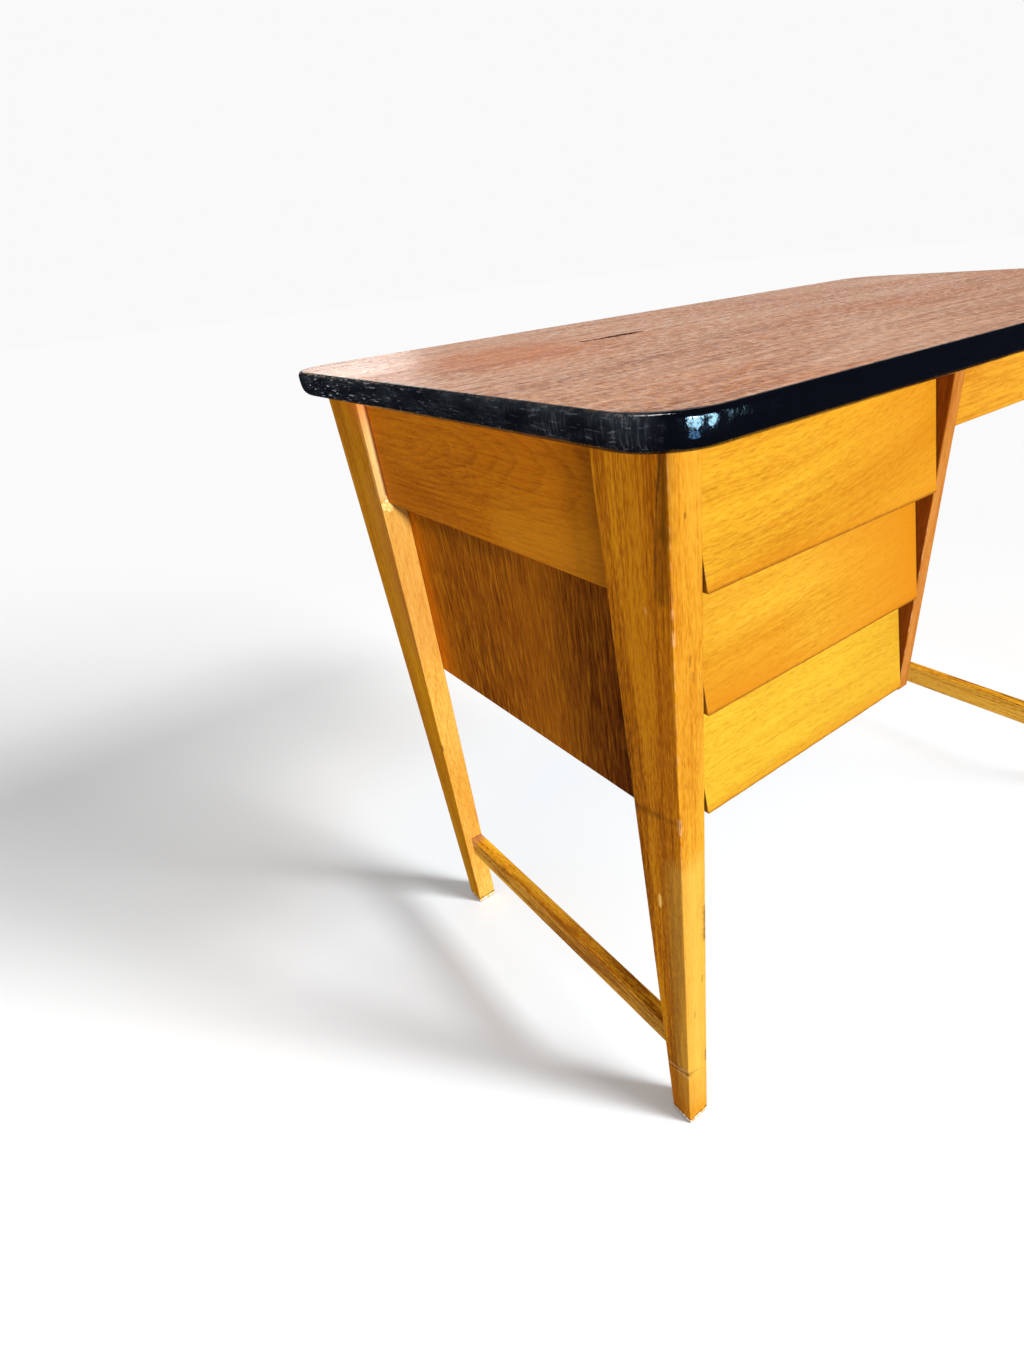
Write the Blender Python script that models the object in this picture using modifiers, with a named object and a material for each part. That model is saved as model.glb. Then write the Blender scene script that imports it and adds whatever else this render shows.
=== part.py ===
"""Writing desk: a veneered top with a dark lipping stands on four tapered legs. A pedestal of three
drawers hangs at the left and the kneehole at the right is open.

Metres, +Z up. The origin is on the floor under the middle of the top, +X runs to the right and the
front of the desk faces -Y.
"""

import math

import bmesh
import bpy
from mathutils import Matrix, Vector

# Desk over all
HEIGHT = 0.760
FRAME_LENGTH = 0.910
FRAME_DEPTH = 0.506

# Gap left between two pieces that are glued, screwed or rest on each other
FIT_GAP = 0.0003

# Top
TOP_THICKNESS = 0.021
TOP_OVERHANG = 0.0275
TOP_CORNER_RADIUS = 0.050
TOP_CORNER_STEPS = 8
VENEER_THICKNESS = 0.0012
LIPPING_WIDTH = 0.014
LIPPING_TOP_ROUND = 0.004
LIPPING_BOTTOM_ROUND = 0.009
LIPPING_TOP_STEPS = 3
LIPPING_BOTTOM_STEPS = 4

# Legs: straight outer faces, with the inner edge tapering from head to toe
LEG_THICKNESS = 0.0275
LEG_HEAD_WIDTH = 0.072
LEG_TOE_WIDTH = 0.028

# Aprons, the rail over the kneehole, and the low stretchers
APRON_HEIGHT = 0.103
APRON_THICKNESS = 0.018
APRON_SETBACK = 0.008
FRONT_RAIL_HEIGHT = 0.050
STRETCHER_LEVEL = 0.104
STRETCHER_HEIGHT = 0.0335
STRETCHER_THICKNESS = 0.0175
STRETCHER_SETBACK = 0.0095

# Mortise and tenon joints
TENON_LENGTH = 0.018
TENON_ROOT = 0.010
TENON_SHARE_OF_THICKNESS = 0.45
TENON_SHARE_OF_HEIGHT = 0.70
STUB_TENON_LENGTH = 0.006

# Pedestal
PEDESTAL_WIDTH = 0.3145
PANEL_THICKNESS = 0.015
PANEL_DROP = 0.0355
WALL_DROP = 0.005
BACK_THICKNESS = 0.006
TOP_RAIL_THICKNESS = 0.016
BOTTOM_RAIL_THICKNESS = 0.012
PEDESTAL_RAIL_WIDTH = 0.050

# Drawer fronts: boards leaning back, undercut behind a level land along the lower edge for the fingers
DRAWER_COUNT = 3
FRONT_HEIGHT = 0.090
FRONT_THICKNESS = 0.018
FRONT_TILT = math.radians(11.5)
FRONT_PROUD = 0.0028
FRONT_LAND = 0.006
FRONT_UNDERCUT = 0.007
FRONT_GAP = 0.003
FRONT_TOP_GAP = 0.0035
FRONT_LEG_GAP = 0.002
FRONT_REAR_GAP = 0.003

# Drawer boxes
SIDE_THICKNESS = 0.012
SIDE_LIFT = 0.014
SIDE_TOP_CLEARANCE = 0.0042
SIDE_CLEARANCE = 0.001
SIDE_REAR_CLEARANCE = 0.012
SIDE_HOUSING_DEPTH = 0.008
DRAWER_BACK_THICKNESS = 0.010
DRAWER_BACK_INSET = 0.008
DRAWER_BACK_HOUSING = 0.004
DRAWER_BOTTOM_THICKNESS = 0.004
DRAWER_BOTTOM_RISE = 0.006
DRAWER_BOTTOM_GROOVE = 0.005

# Runners, which enter grooves in the drawer sides
RUNNER_HEIGHT = 0.012
RUNNER_BITE = 0.005
RUNNER_INSET = 0.030
RUNNER_REAR_GAP = 0.006
RUNNER_CLEARANCE = 0.0006

# Battens, corner blocks and screws that hold the top
BATTEN_SIZE = 0.018
BATTEN_END_GAP = 0.012
CORNER_BLOCK_LEG = 0.034
CORNER_BLOCK_HEIGHT = 0.040
SCREW_LENGTH = 0.027
SCREW_HEAD_RADIUS = 0.004
SCREW_HEAD_HEIGHT = 0.003
SCREW_SHANK_RADIUS = 0.002
SCREW_TIP_HEIGHT = 0.003
SCREW_STEPS = 12
SCREW_END_SHARE = 0.22

# Softened arris on the boards that show
ARRIS = 0.001
ARRIS_ANGLE = math.radians(30.0)

# How far a cutter runs past the face that it opens
CUT_PAST = 0.004

# Points closer than this become one, and turned profiles close on their axis within it
WELD = 0.00001

# Places that follow from the sizes above
LEFT = -FRAME_LENGTH / 2
RIGHT = FRAME_LENGTH / 2
FRONT = -FRAME_DEPTH / 2
REAR = FRAME_DEPTH / 2
UNDERSIDE = HEIGHT - TOP_THICKNESS
UNDER_TOP = UNDERSIDE - FIT_GAP
APRON_BOTTOM = UNDERSIDE - APRON_HEIGHT
LEFT_LEG_FACE = LEFT + LEG_THICKNESS
RIGHT_LEG_FACE = RIGHT - LEG_THICKNESS
REAR_APRON_FACE = REAR - APRON_SETBACK - APRON_THICKNESS
FRONT_RAIL_FACE = FRONT + APRON_SETBACK + APRON_THICKNESS

FRONT_PITCH = FRONT_HEIGHT + FRONT_GAP
FRONT_LEAN = math.tan(FRONT_TILT)
FRONT_RUN = FRONT_THICKNESS / math.cos(FRONT_TILT)
FRONT_FACE = FRONT - FRONT_PROUD
PEDESTAL_BOTTOM = UNDERSIDE - FRONT_TOP_GAP + FRONT_GAP - DRAWER_COUNT * FRONT_PITCH
PANEL_FRONT = FRONT_FACE + FRONT_HEIGHT * FRONT_LEAN + FRONT_RUN + FRONT_REAR_GAP
PANEL_REAR = REAR_APRON_FACE - FIT_GAP
BACK_FACE = PANEL_REAR - BACK_THICKNESS
PANEL_OUTER = LEFT_LEG_FACE + FIT_GAP
PANEL_INNER = PANEL_OUTER + PANEL_THICKNESS
WALL_OUTER = LEFT + PEDESTAL_WIDTH
WALL_INNER = WALL_OUTER - PANEL_THICKNESS

SIDE_HEIGHT = FRONT_HEIGHT + FRONT_TOP_GAP - SIDE_LIFT - TOP_RAIL_THICKNESS - SIDE_TOP_CLEARANCE
BOX_LEFT = PANEL_INNER + SIDE_CLEARANCE
BOX_RIGHT = WALL_INNER - SIDE_CLEARANCE
BOX_REAR = BACK_FACE - SIDE_REAR_CLEARANCE
RUNNER_FRONT = PANEL_FRONT + RUNNER_INSET
RUNNER_REAR = BACK_FACE - RUNNER_REAR_GAP
BATTEN_BOTTOM = UNDER_TOP - BATTEN_SIZE


def clear_scene():
    for item in list(bpy.data.objects):
        bpy.data.objects.remove(item, do_unlink=True)


def new_collection(name):
    collection = bpy.data.collections.new(name)
    bpy.context.scene.collection.children.link(collection)
    return collection


clear_scene()
DESK = new_collection("writing_desk")
CUTTERS = new_collection("cutters")


def wood_or_metal(name, colour, roughness, metallic=0.0):
    material = bpy.data.materials.new(name)
    material.use_nodes = True
    shader = material.node_tree.nodes["Principled BSDF"]
    shader.inputs["Base Color"].default_value = (*colour, 1.0)
    shader.inputs["Roughness"].default_value = roughness
    shader.inputs["Metallic"].default_value = metallic
    return material


VARNISHED_BEECH = wood_or_metal("varnished_beech", (0.62, 0.30, 0.06), 0.38)
STAINED_PANEL = wood_or_metal("stained_panel", (0.23, 0.09, 0.02), 0.50)
TOP_VENEER = wood_or_metal("brown_veneer", (0.46, 0.21, 0.11), 0.42)
BLACK_LACQUER = wood_or_metal("black_lacquer", (0.012, 0.012, 0.014), 0.25)
PLAIN_BEECH = wood_or_metal("plain_beech", (0.60, 0.42, 0.24), 0.60)
PLYWOOD = wood_or_metal("plywood", (0.55, 0.38, 0.22), 0.65)
ZINC_STEEL = wood_or_metal("zinc_steel", (0.55, 0.55, 0.53), 0.40, 1.0)


def place(name, mesh, material):
    """One piece of the desk, with its origin moved to the middle of its box."""
    corners = [vertex.co for vertex in mesh.vertices]
    low = Vector(min(point[axis] for point in corners) for axis in range(3))
    high = Vector(max(point[axis] for point in corners) for axis in range(3))
    middle = (low + high) / 2
    mesh.transform(Matrix.Translation(-middle))
    mesh.name = name
    piece = bpy.data.objects.new(name, mesh)
    piece.location = middle
    if material is None:
        piece.hide_render = True
        piece.display_type = "WIRE"
        CUTTERS.objects.link(piece)
    else:
        mesh.materials.clear()
        mesh.materials.append(material)
        DESK.objects.link(piece)
    return piece


def box(name, low, high, material=None):
    """A board between two corners; without a material it is a cutter or a tenon to be joined."""
    low = Vector(low)
    high = Vector(high)
    size = high - low
    form = bmesh.new()
    bmesh.ops.create_cube(form, size=1.0, matrix=Matrix.Diagonal((*size, 1.0)))
    bmesh.ops.translate(form, verts=form.verts, vec=(low + high) / 2)
    mesh = bpy.data.meshes.new(name)
    form.to_mesh(mesh)
    form.free()
    return place(name, mesh, material)


def flat_curve(name, outline):
    curve = bpy.data.curves.new(name, "CURVE")
    curve.dimensions = "2D"
    spline = curve.splines.new("POLY")
    spline.points.add(len(outline) - 1)
    for point, (across, along) in zip(spline.points, outline):
        point.co = (across, along, 0.0, 1.0)
    spline.use_cyclic_u = True
    return curve


def solid_mesh(curve, turn):
    """The closed mesh of a curve, turned or shifted into place."""
    shaper = bpy.data.objects.new(curve.name, curve)
    CUTTERS.objects.link(shaper)
    graph = bpy.context.evaluated_depsgraph_get()
    mesh = bpy.data.meshes.new_from_object(shaper.evaluated_get(graph))
    bpy.data.objects.remove(shaper, do_unlink=True)
    bpy.data.curves.remove(curve)
    mesh.transform(turn)
    form = bmesh.new()
    form.from_mesh(mesh)
    bmesh.ops.remove_doubles(form, verts=form.verts, dist=WELD)
    bmesh.ops.dissolve_limit(form, angle_limit=WELD, verts=form.verts, edges=form.edges)
    bmesh.ops.recalc_face_normals(form, faces=form.faces)
    form.to_mesh(mesh)
    form.free()
    return mesh


def board(name, outline, low, high, material=None):
    """A board cut to an outline of (y, z) points and running along X from low to high."""
    curve = flat_curve(name, outline)
    curve.fill_mode = "BOTH"
    curve.extrude = (high - low) / 2
    turn = Matrix(((0, 0, 1, (low + high) / 2), (1, 0, 0, 0), (0, 1, 0, 0), (0, 0, 0, 1)))
    return place(name, solid_mesh(curve, turn), material)


def plate(name, outline, low, high, material=None):
    """A flat plate cut to an outline of (x, y) points, between two heights."""
    curve = flat_curve(name, outline)
    curve.fill_mode = "BOTH"
    curve.extrude = (high - low) / 2
    return place(name, solid_mesh(curve, Matrix.Translation((0, 0, (low + high) / 2))), material)


def soften(piece):
    bevel = piece.modifiers.new("arris", "BEVEL")
    bevel.width = ARRIS
    bevel.segments = 1
    bevel.limit_method = "ANGLE"
    bevel.angle_limit = ARRIS_ANGLE


def boolean(piece, tool, operation):
    step = piece.modifiers.new(tool.name, "BOOLEAN")
    step.operation = operation
    step.solver = "EXACT"
    step.object = tool


def cut(piece, tool):
    boolean(piece, tool, "DIFFERENCE")


def join(piece, tool):
    boolean(piece, tool, "UNION")


def grown(low, high, by):
    return [value - by for value in low], [value + by for value in high]


def joint(rail, leg, low, high):
    """A tenon on the rail and the mortise for it in the leg."""
    join(rail, box(f"{rail.name}_tenon_{leg.name}", low, high))
    cut(leg, box(f"{leg.name}_mortise_{rail.name}", *grown(low, high, FIT_GAP)))


def rounded_outline(inset):
    """The outline of the top, moved in from its edge."""
    radius = TOP_CORNER_RADIUS - inset
    reach_x = FRAME_LENGTH / 2 + TOP_OVERHANG - inset - radius
    reach_y = FRAME_DEPTH / 2 + TOP_OVERHANG - inset - radius
    corners = ((reach_x, reach_y), (-reach_x, reach_y), (-reach_x, -reach_y), (reach_x, -reach_y))
    quarter = math.pi / 2
    outline = []
    for turn, (middle_x, middle_y) in enumerate(corners):
        for step in range(TOP_CORNER_STEPS + 1):
            angle = quarter * (turn + step / TOP_CORNER_STEPS)
            outline.append((middle_x + radius * math.cos(angle), middle_y + radius * math.sin(angle)))
    return outline


def lipping_profile():
    """The section of the lipping: distance in from its outer face, and height over its underside."""
    points = []
    for step in range(LIPPING_BOTTOM_STEPS + 1):
        angle = math.pi / 2 * step / LIPPING_BOTTOM_STEPS
        across = LIPPING_BOTTOM_ROUND * (1 - math.sin(angle))
        points.append((across, LIPPING_BOTTOM_ROUND * (1 - math.cos(angle))))
    for step in range(LIPPING_TOP_STEPS + 1):
        angle = math.pi / 2 * step / LIPPING_TOP_STEPS
        across = LIPPING_TOP_ROUND * (1 - math.cos(angle))
        points.append((across, TOP_THICKNESS - LIPPING_TOP_ROUND * (1 - math.sin(angle))))
    ledge = TOP_THICKNESS - VENEER_THICKNESS - FIT_GAP
    points.append((LIPPING_TOP_ROUND, ledge))
    points.append((LIPPING_WIDTH, ledge))
    points.append((LIPPING_WIDTH, 0.0))
    return points


def make_top():
    core_edge = rounded_outline(LIPPING_WIDTH + FIT_GAP)
    core_top = HEIGHT - VENEER_THICKNESS - FIT_GAP
    core = plate("top_core", core_edge, UNDERSIDE, core_top, PLYWOOD)
    veneer_edge = rounded_outline(LIPPING_TOP_ROUND + FIT_GAP)
    plate("top_veneer", veneer_edge, HEIGHT - VENEER_THICKNESS, HEIGHT, TOP_VENEER)
    section = bpy.data.objects.new("lipping_section", flat_curve("lipping_section", lipping_profile()))
    CUTTERS.objects.link(section)
    path = flat_curve("top_lipping", rounded_outline(0.0))
    path.bevel_mode = "OBJECT"
    path.bevel_object = section
    mesh = solid_mesh(path, Matrix.Translation((0, 0, UNDERSIDE)))
    bpy.data.objects.remove(section, do_unlink=True)
    place("top_lipping", mesh, BLACK_LACQUER)
    return core


def leg_width(height):
    return LEG_TOE_WIDTH + (LEG_HEAD_WIDTH - LEG_TOE_WIDTH) * height / UNDERSIDE


def make_leg(name, low, outer, inward):
    """A leg with its straight face at outer, tapering on the side that inward points to."""
    outline = (
        (outer, 0.0),
        (outer + inward * leg_width(0.0), 0.0),
        (outer + inward * leg_width(UNDER_TOP), UNDER_TOP),
        (outer, UNDER_TOP),
    )
    leg = board(name, outline, low, low + LEG_THICKNESS, VARNISHED_BEECH)
    soften(leg)
    return leg


def side_rail(name, low, thickness, bottom, top, front_leg, rear_leg):
    """A rail between the front and the rear leg of one end, tenoned into both."""
    outline = (
        (FRONT + leg_width(bottom) + FIT_GAP, bottom),
        (REAR - leg_width(bottom) - FIT_GAP, bottom),
        (REAR - leg_width(top) - FIT_GAP, top),
        (FRONT + leg_width(top) + FIT_GAP, top),
    )
    rail = board(name, outline, low, low + thickness, VARNISHED_BEECH)
    soften(rail)
    middle_x = low + thickness / 2
    middle_z = (bottom + top) / 2
    half_x = thickness * TENON_SHARE_OF_THICKNESS / 2
    half_z = (top - bottom) * TENON_SHARE_OF_HEIGHT / 2
    tip = leg_width(bottom) - TENON_LENGTH
    root = leg_width(top) + TENON_ROOT
    low_x = middle_x - half_x
    high_x = middle_x + half_x
    low_z = middle_z - half_z
    high_z = middle_z + half_z
    joint(rail, front_leg, (low_x, FRONT + tip, low_z), (high_x, FRONT + root, high_z))
    joint(rail, rear_leg, (low_x, REAR - root, low_z), (high_x, REAR - tip, high_z))


def cross_rail(name, low_x, high_x, low_y, bottom):
    """A rail along X under the top."""
    high_y = low_y + APRON_THICKNESS
    rail = box(name, (low_x, low_y, bottom), (high_x, high_y, UNDER_TOP), VARNISHED_BEECH)
    soften(rail)
    return rail


def cross_joint(rail, leg, tip_x, root_x, low_y, bottom):
    middle_y = low_y + APRON_THICKNESS / 2
    middle_z = (bottom + UNDER_TOP) / 2
    half_y = APRON_THICKNESS * TENON_SHARE_OF_THICKNESS / 2
    half_z = (UNDER_TOP - bottom) * TENON_SHARE_OF_HEIGHT / 2
    low = (min(tip_x, root_x), middle_y - half_y, middle_z - half_z)
    high = (max(tip_x, root_x), middle_y + half_y, middle_z + half_z)
    joint(rail, leg, low, high)


def make_frame(wall):
    front_left = make_leg("front_left_leg", LEFT, FRONT, 1)
    rear_left = make_leg("rear_left_leg", LEFT, REAR, -1)
    front_right = make_leg("front_right_leg", RIGHT_LEG_FACE, FRONT, 1)
    rear_right = make_leg("rear_right_leg", RIGHT_LEG_FACE, REAR, -1)
    ends = (("left", LEFT, 1, front_left, rear_left), ("right", RIGHT, -1, front_right, rear_right))
    for name, outer, inward, front_leg, rear_leg in ends:
        apron_faces = (
            outer + inward * APRON_SETBACK,
            outer + inward * (APRON_SETBACK + APRON_THICKNESS),
        )
        stretcher_faces = (
            outer + inward * STRETCHER_SETBACK,
            outer + inward * (STRETCHER_SETBACK + STRETCHER_THICKNESS),
        )
        stretcher_top = STRETCHER_LEVEL + STRETCHER_HEIGHT
        side_rail(
            f"{name}_apron", min(apron_faces), APRON_THICKNESS, APRON_BOTTOM, UNDER_TOP,
            front_leg, rear_leg,
        )
        side_rail(
            f"{name}_stretcher", min(stretcher_faces), STRETCHER_THICKNESS, STRETCHER_LEVEL,
            stretcher_top, front_leg, rear_leg,
        )
    rear_apron = cross_rail(
        "rear_apron", LEFT_LEG_FACE + FIT_GAP, RIGHT_LEG_FACE - FIT_GAP, REAR_APRON_FACE, APRON_BOTTOM
    )
    left_tip = LEFT_LEG_FACE - TENON_LENGTH
    left_root = LEFT_LEG_FACE + TENON_ROOT
    right_tip = RIGHT_LEG_FACE + TENON_LENGTH
    right_root = RIGHT_LEG_FACE - TENON_ROOT
    cross_joint(rear_apron, rear_left, left_tip, left_root, REAR_APRON_FACE, APRON_BOTTOM)
    cross_joint(rear_apron, rear_right, right_tip, right_root, REAR_APRON_FACE, APRON_BOTTOM)
    rail_low_y = FRONT + APRON_SETBACK
    rail_bottom = UNDERSIDE - FRONT_RAIL_HEIGHT
    front_rail = cross_rail(
        "front_rail", WALL_OUTER + FIT_GAP, RIGHT_LEG_FACE - FIT_GAP, rail_low_y, rail_bottom
    )
    stub_tip = WALL_OUTER - STUB_TENON_LENGTH
    stub_root = WALL_OUTER + TENON_ROOT
    cross_joint(front_rail, wall, stub_tip, stub_root, rail_low_y, rail_bottom)
    cross_joint(front_rail, front_right, right_tip, right_root, rail_low_y, rail_bottom)


def pedestal_rail(name, low_y, bottom, thickness):
    low = (PANEL_INNER + FIT_GAP, low_y, bottom)
    high = (WALL_INNER - FIT_GAP, low_y + PEDESTAL_RAIL_WIDTH, bottom + thickness)
    return box(name, low, high, PLAIN_BEECH)


def make_pedestal():
    panel_bottom = PEDESTAL_BOTTOM - PANEL_DROP
    box(
        "pedestal_left_panel",
        (PANEL_OUTER, PANEL_FRONT, panel_bottom),
        (PANEL_INNER, PANEL_REAR, UNDER_TOP),
        STAINED_PANEL,
    )
    wall_bottom = PEDESTAL_BOTTOM - WALL_DROP
    wall = box(
        "pedestal_right_wall",
        (WALL_INNER, FRONT, wall_bottom),
        (WALL_OUTER, PANEL_REAR, UNDER_TOP),
        VARNISHED_BEECH,
    )
    soften(wall)
    box(
        "pedestal_back",
        (PANEL_INNER + FIT_GAP, BACK_FACE, PEDESTAL_BOTTOM),
        (WALL_INNER - FIT_GAP, PANEL_REAR, UNDER_TOP),
        PLYWOOD,
    )
    rear_rail_y = BACK_FACE - FIT_GAP - PEDESTAL_RAIL_WIDTH
    top_rail_bottom = UNDER_TOP - TOP_RAIL_THICKNESS
    top_rails = [
        pedestal_rail("pedestal_top_front_rail", PANEL_FRONT, top_rail_bottom, TOP_RAIL_THICKNESS),
        pedestal_rail("pedestal_top_rear_rail", rear_rail_y, top_rail_bottom, TOP_RAIL_THICKNESS),
    ]
    pedestal_rail("pedestal_bottom_front_rail", PANEL_FRONT, PEDESTAL_BOTTOM, BOTTOM_RAIL_THICKNESS)
    pedestal_rail("pedestal_bottom_rear_rail", rear_rail_y, PEDESTAL_BOTTOM, BOTTOM_RAIL_THICKNESS)
    return wall, top_rails


def front_face_y(rise):
    """Where the leaning face of a drawer front lies at a height over its lower edge."""
    return FRONT_FACE + rise * FRONT_LEAN


def front_outline(bottom):
    return (
        (front_face_y(0.0), bottom),
        (front_face_y(0.0) + FRONT_LAND, bottom),
        (front_face_y(FRONT_UNDERCUT) + FRONT_RUN, bottom + FRONT_UNDERCUT),
        (front_face_y(FRONT_HEIGHT) + FRONT_RUN, bottom + FRONT_HEIGHT),
        (front_face_y(FRONT_HEIGHT), bottom + FRONT_HEIGHT),
    )


def housing_outline(bottom, depth, past, gap):
    """The front end of a drawer side, let in to the back of the front by the housing's depth."""
    low = SIDE_LIFT - gap
    high = SIDE_LIFT + SIDE_HEIGHT + gap
    seat = FRONT_RUN - depth / math.cos(FRONT_TILT)
    return (
        (front_face_y(low) + seat, bottom + low),
        (past, bottom + low),
        (past, bottom + high),
        (front_face_y(high) + seat, bottom + high),
    )


def make_drawer_side(name, low_x, inward, bottom):
    """A drawer side, its runner groove outside, with the bottom's groove and the back's housing inside."""
    side = board(
        name,
        housing_outline(bottom, SIDE_HOUSING_DEPTH - FIT_GAP, BOX_REAR, 0.0),
        low_x,
        low_x + SIDE_THICKNESS,
        PLAIN_BEECH,
    )
    outer = low_x if inward > 0 else low_x + SIDE_THICKNESS
    inner = outer + inward * SIDE_THICKNESS
    side_bottom = bottom + SIDE_LIFT
    runner_bottom = side_bottom + (SIDE_HEIGHT - RUNNER_HEIGHT) / 2
    groove_floor = outer + inward * (RUNNER_BITE + RUNNER_CLEARANCE)
    groove_mouth = outer - inward * CUT_PAST
    low = (min(groove_floor, groove_mouth), RUNNER_FRONT - FIT_GAP, runner_bottom - RUNNER_CLEARANCE)
    high = (
        max(groove_floor, groove_mouth),
        BOX_REAR + CUT_PAST,
        runner_bottom + RUNNER_HEIGHT + FIT_GAP,
    )
    cut(side, box(f"{name}_runner_groove", low, high))
    bottom_floor = inner - inward * DRAWER_BOTTOM_GROOVE
    mouth = inner + inward * CUT_PAST
    bottom_low = side_bottom + DRAWER_BOTTOM_RISE
    bottom_high = bottom_low + DRAWER_BOTTOM_THICKNESS
    low = (min(bottom_floor, mouth), FRONT_FACE, bottom_low - FIT_GAP)
    high = (max(bottom_floor, mouth), BOX_REAR + CUT_PAST, bottom_high + FIT_GAP)
    cut(side, box(f"{name}_bottom_groove", low, high))
    back_floor = inner - inward * DRAWER_BACK_HOUSING
    back_rear = BOX_REAR - DRAWER_BACK_INSET
    low = (min(back_floor, mouth), back_rear - DRAWER_BACK_THICKNESS - FIT_GAP, bottom_low)
    high = (max(back_floor, mouth), back_rear + FIT_GAP, side_bottom + SIDE_HEIGHT + CUT_PAST)
    cut(side, box(f"{name}_back_housing", low, high))
    return side


def make_drawer(number, bottom):
    name = f"drawer_{number}"
    box_middle = (BOX_LEFT + BOX_RIGHT) / 2
    side_middle = bottom + SIDE_LIFT + SIDE_HEIGHT / 2
    slide = bpy.data.objects.new(f"{name}_slide", None)
    slide.location = (box_middle, FRONT, side_middle)
    DESK.objects.link(slide)

    front_low = LEFT_LEG_FACE + FRONT_LEG_GAP
    front = board(f"{name}_front", front_outline(bottom), front_low, BOX_RIGHT, VARNISHED_BEECH)
    soften(front)
    housing = housing_outline(bottom, SIDE_HOUSING_DEPTH, PANEL_FRONT, FIT_GAP)
    left_inner = BOX_LEFT + SIDE_THICKNESS
    right_inner = BOX_RIGHT - SIDE_THICKNESS
    cut(front, board(f"{name}_left_housing", housing, BOX_LEFT - FIT_GAP, left_inner + FIT_GAP))
    cut(front, board(f"{name}_right_rebate", housing, right_inner - FIT_GAP, BOX_RIGHT + CUT_PAST))
    floor_low = bottom + SIDE_LIFT + DRAWER_BOTTOM_RISE
    floor_high = floor_low + DRAWER_BOTTOM_THICKNESS
    floor_front = front_face_y(floor_low - bottom) + FRONT_RUN - DRAWER_BOTTOM_GROOVE
    floor_left = left_inner - DRAWER_BOTTOM_GROOVE
    floor_right = right_inner + DRAWER_BOTTOM_GROOVE
    cut(
        front,
        box(
            f"{name}_front_groove",
            (floor_left, floor_front, floor_low - FIT_GAP),
            (floor_right, PANEL_FRONT, floor_high + FIT_GAP),
        ),
    )
    back_rear = BOX_REAR - DRAWER_BACK_INSET
    reach = DRAWER_BACK_HOUSING - FIT_GAP
    pieces = [
        front,
        make_drawer_side(f"{name}_left_side", BOX_LEFT, 1, bottom),
        make_drawer_side(f"{name}_right_side", right_inner, -1, bottom),
        box(
            f"{name}_bottom",
            (floor_left + FIT_GAP, floor_front + FIT_GAP, floor_low),
            (floor_right - FIT_GAP, BOX_REAR, floor_high),
            PLYWOOD,
        ),
        box(
            f"{name}_back",
            (left_inner - reach, back_rear - DRAWER_BACK_THICKNESS, floor_high + FIT_GAP),
            (right_inner + reach, back_rear, bottom + SIDE_LIFT + SIDE_HEIGHT),
            PLAIN_BEECH,
        ),
    ]
    for piece in pieces:
        piece.parent = slide
        piece.matrix_parent_inverse = Matrix.Translation(slide.location).inverted()

    runner_bottom = side_middle - RUNNER_HEIGHT / 2
    runner_top = runner_bottom + RUNNER_HEIGHT
    bite = SIDE_CLEARANCE + RUNNER_BITE
    box(
        f"{name}_left_runner",
        (PANEL_INNER + FIT_GAP, RUNNER_FRONT, runner_bottom),
        (PANEL_INNER + bite, RUNNER_REAR, runner_top),
        PLAIN_BEECH,
    )
    box(
        f"{name}_right_runner",
        (WALL_INNER - bite, RUNNER_FRONT, runner_bottom),
        (WALL_INNER - FIT_GAP, RUNNER_REAR, runner_top),
        PLAIN_BEECH,
    )


def turned(name, profile, foot, material=None):
    """A solid turned about an upright axis from (radius, height) points."""
    form = bmesh.new()
    points = [form.verts.new((radius, 0.0, height)) for radius, height in profile]
    for lower, upper in zip(points, points[1:]):
        form.edges.new((lower, upper))
    mesh = bpy.data.meshes.new(name)
    form.to_mesh(mesh)
    form.free()
    piece = bpy.data.objects.new(name, mesh)
    piece.location = foot
    turn = piece.modifiers.new("turn", "SCREW")
    turn.steps = SCREW_STEPS
    turn.render_steps = SCREW_STEPS
    turn.use_merge_vertices = True
    turn.merge_threshold = WELD
    turn.use_normal_calculate = True
    if material is None:
        piece.hide_render = True
        piece.display_type = "WIRE"
        CUTTERS.objects.link(piece)
    else:
        mesh.materials.append(material)
        DESK.objects.link(piece)
    return piece


def screw_profile(gap, below):
    """Half the section of a countersunk screw with its head down, grown by a gap."""
    return (
        (0.0, -below),
        (SCREW_HEAD_RADIUS + gap, -below),
        (SCREW_HEAD_RADIUS + gap, gap),
        (SCREW_SHANK_RADIUS + gap, SCREW_HEAD_HEIGHT + gap),
        (SCREW_SHANK_RADIUS + gap, SCREW_LENGTH - SCREW_TIP_HEIGHT + gap),
        (0.0, SCREW_LENGTH + gap),
    )


def make_screw(name, batten, core, foot):
    rim = ARRIS / 2
    seat = Vector(foot) + Vector((0, 0, FIT_GAP + rim))
    turned(name, screw_profile(0.0, rim), seat, ZINC_STEEL)
    hole = turned(f"{name}_hole", screw_profile(FIT_GAP, CUT_PAST), seat)
    cut(batten, hole)
    cut(core, hole)


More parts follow.
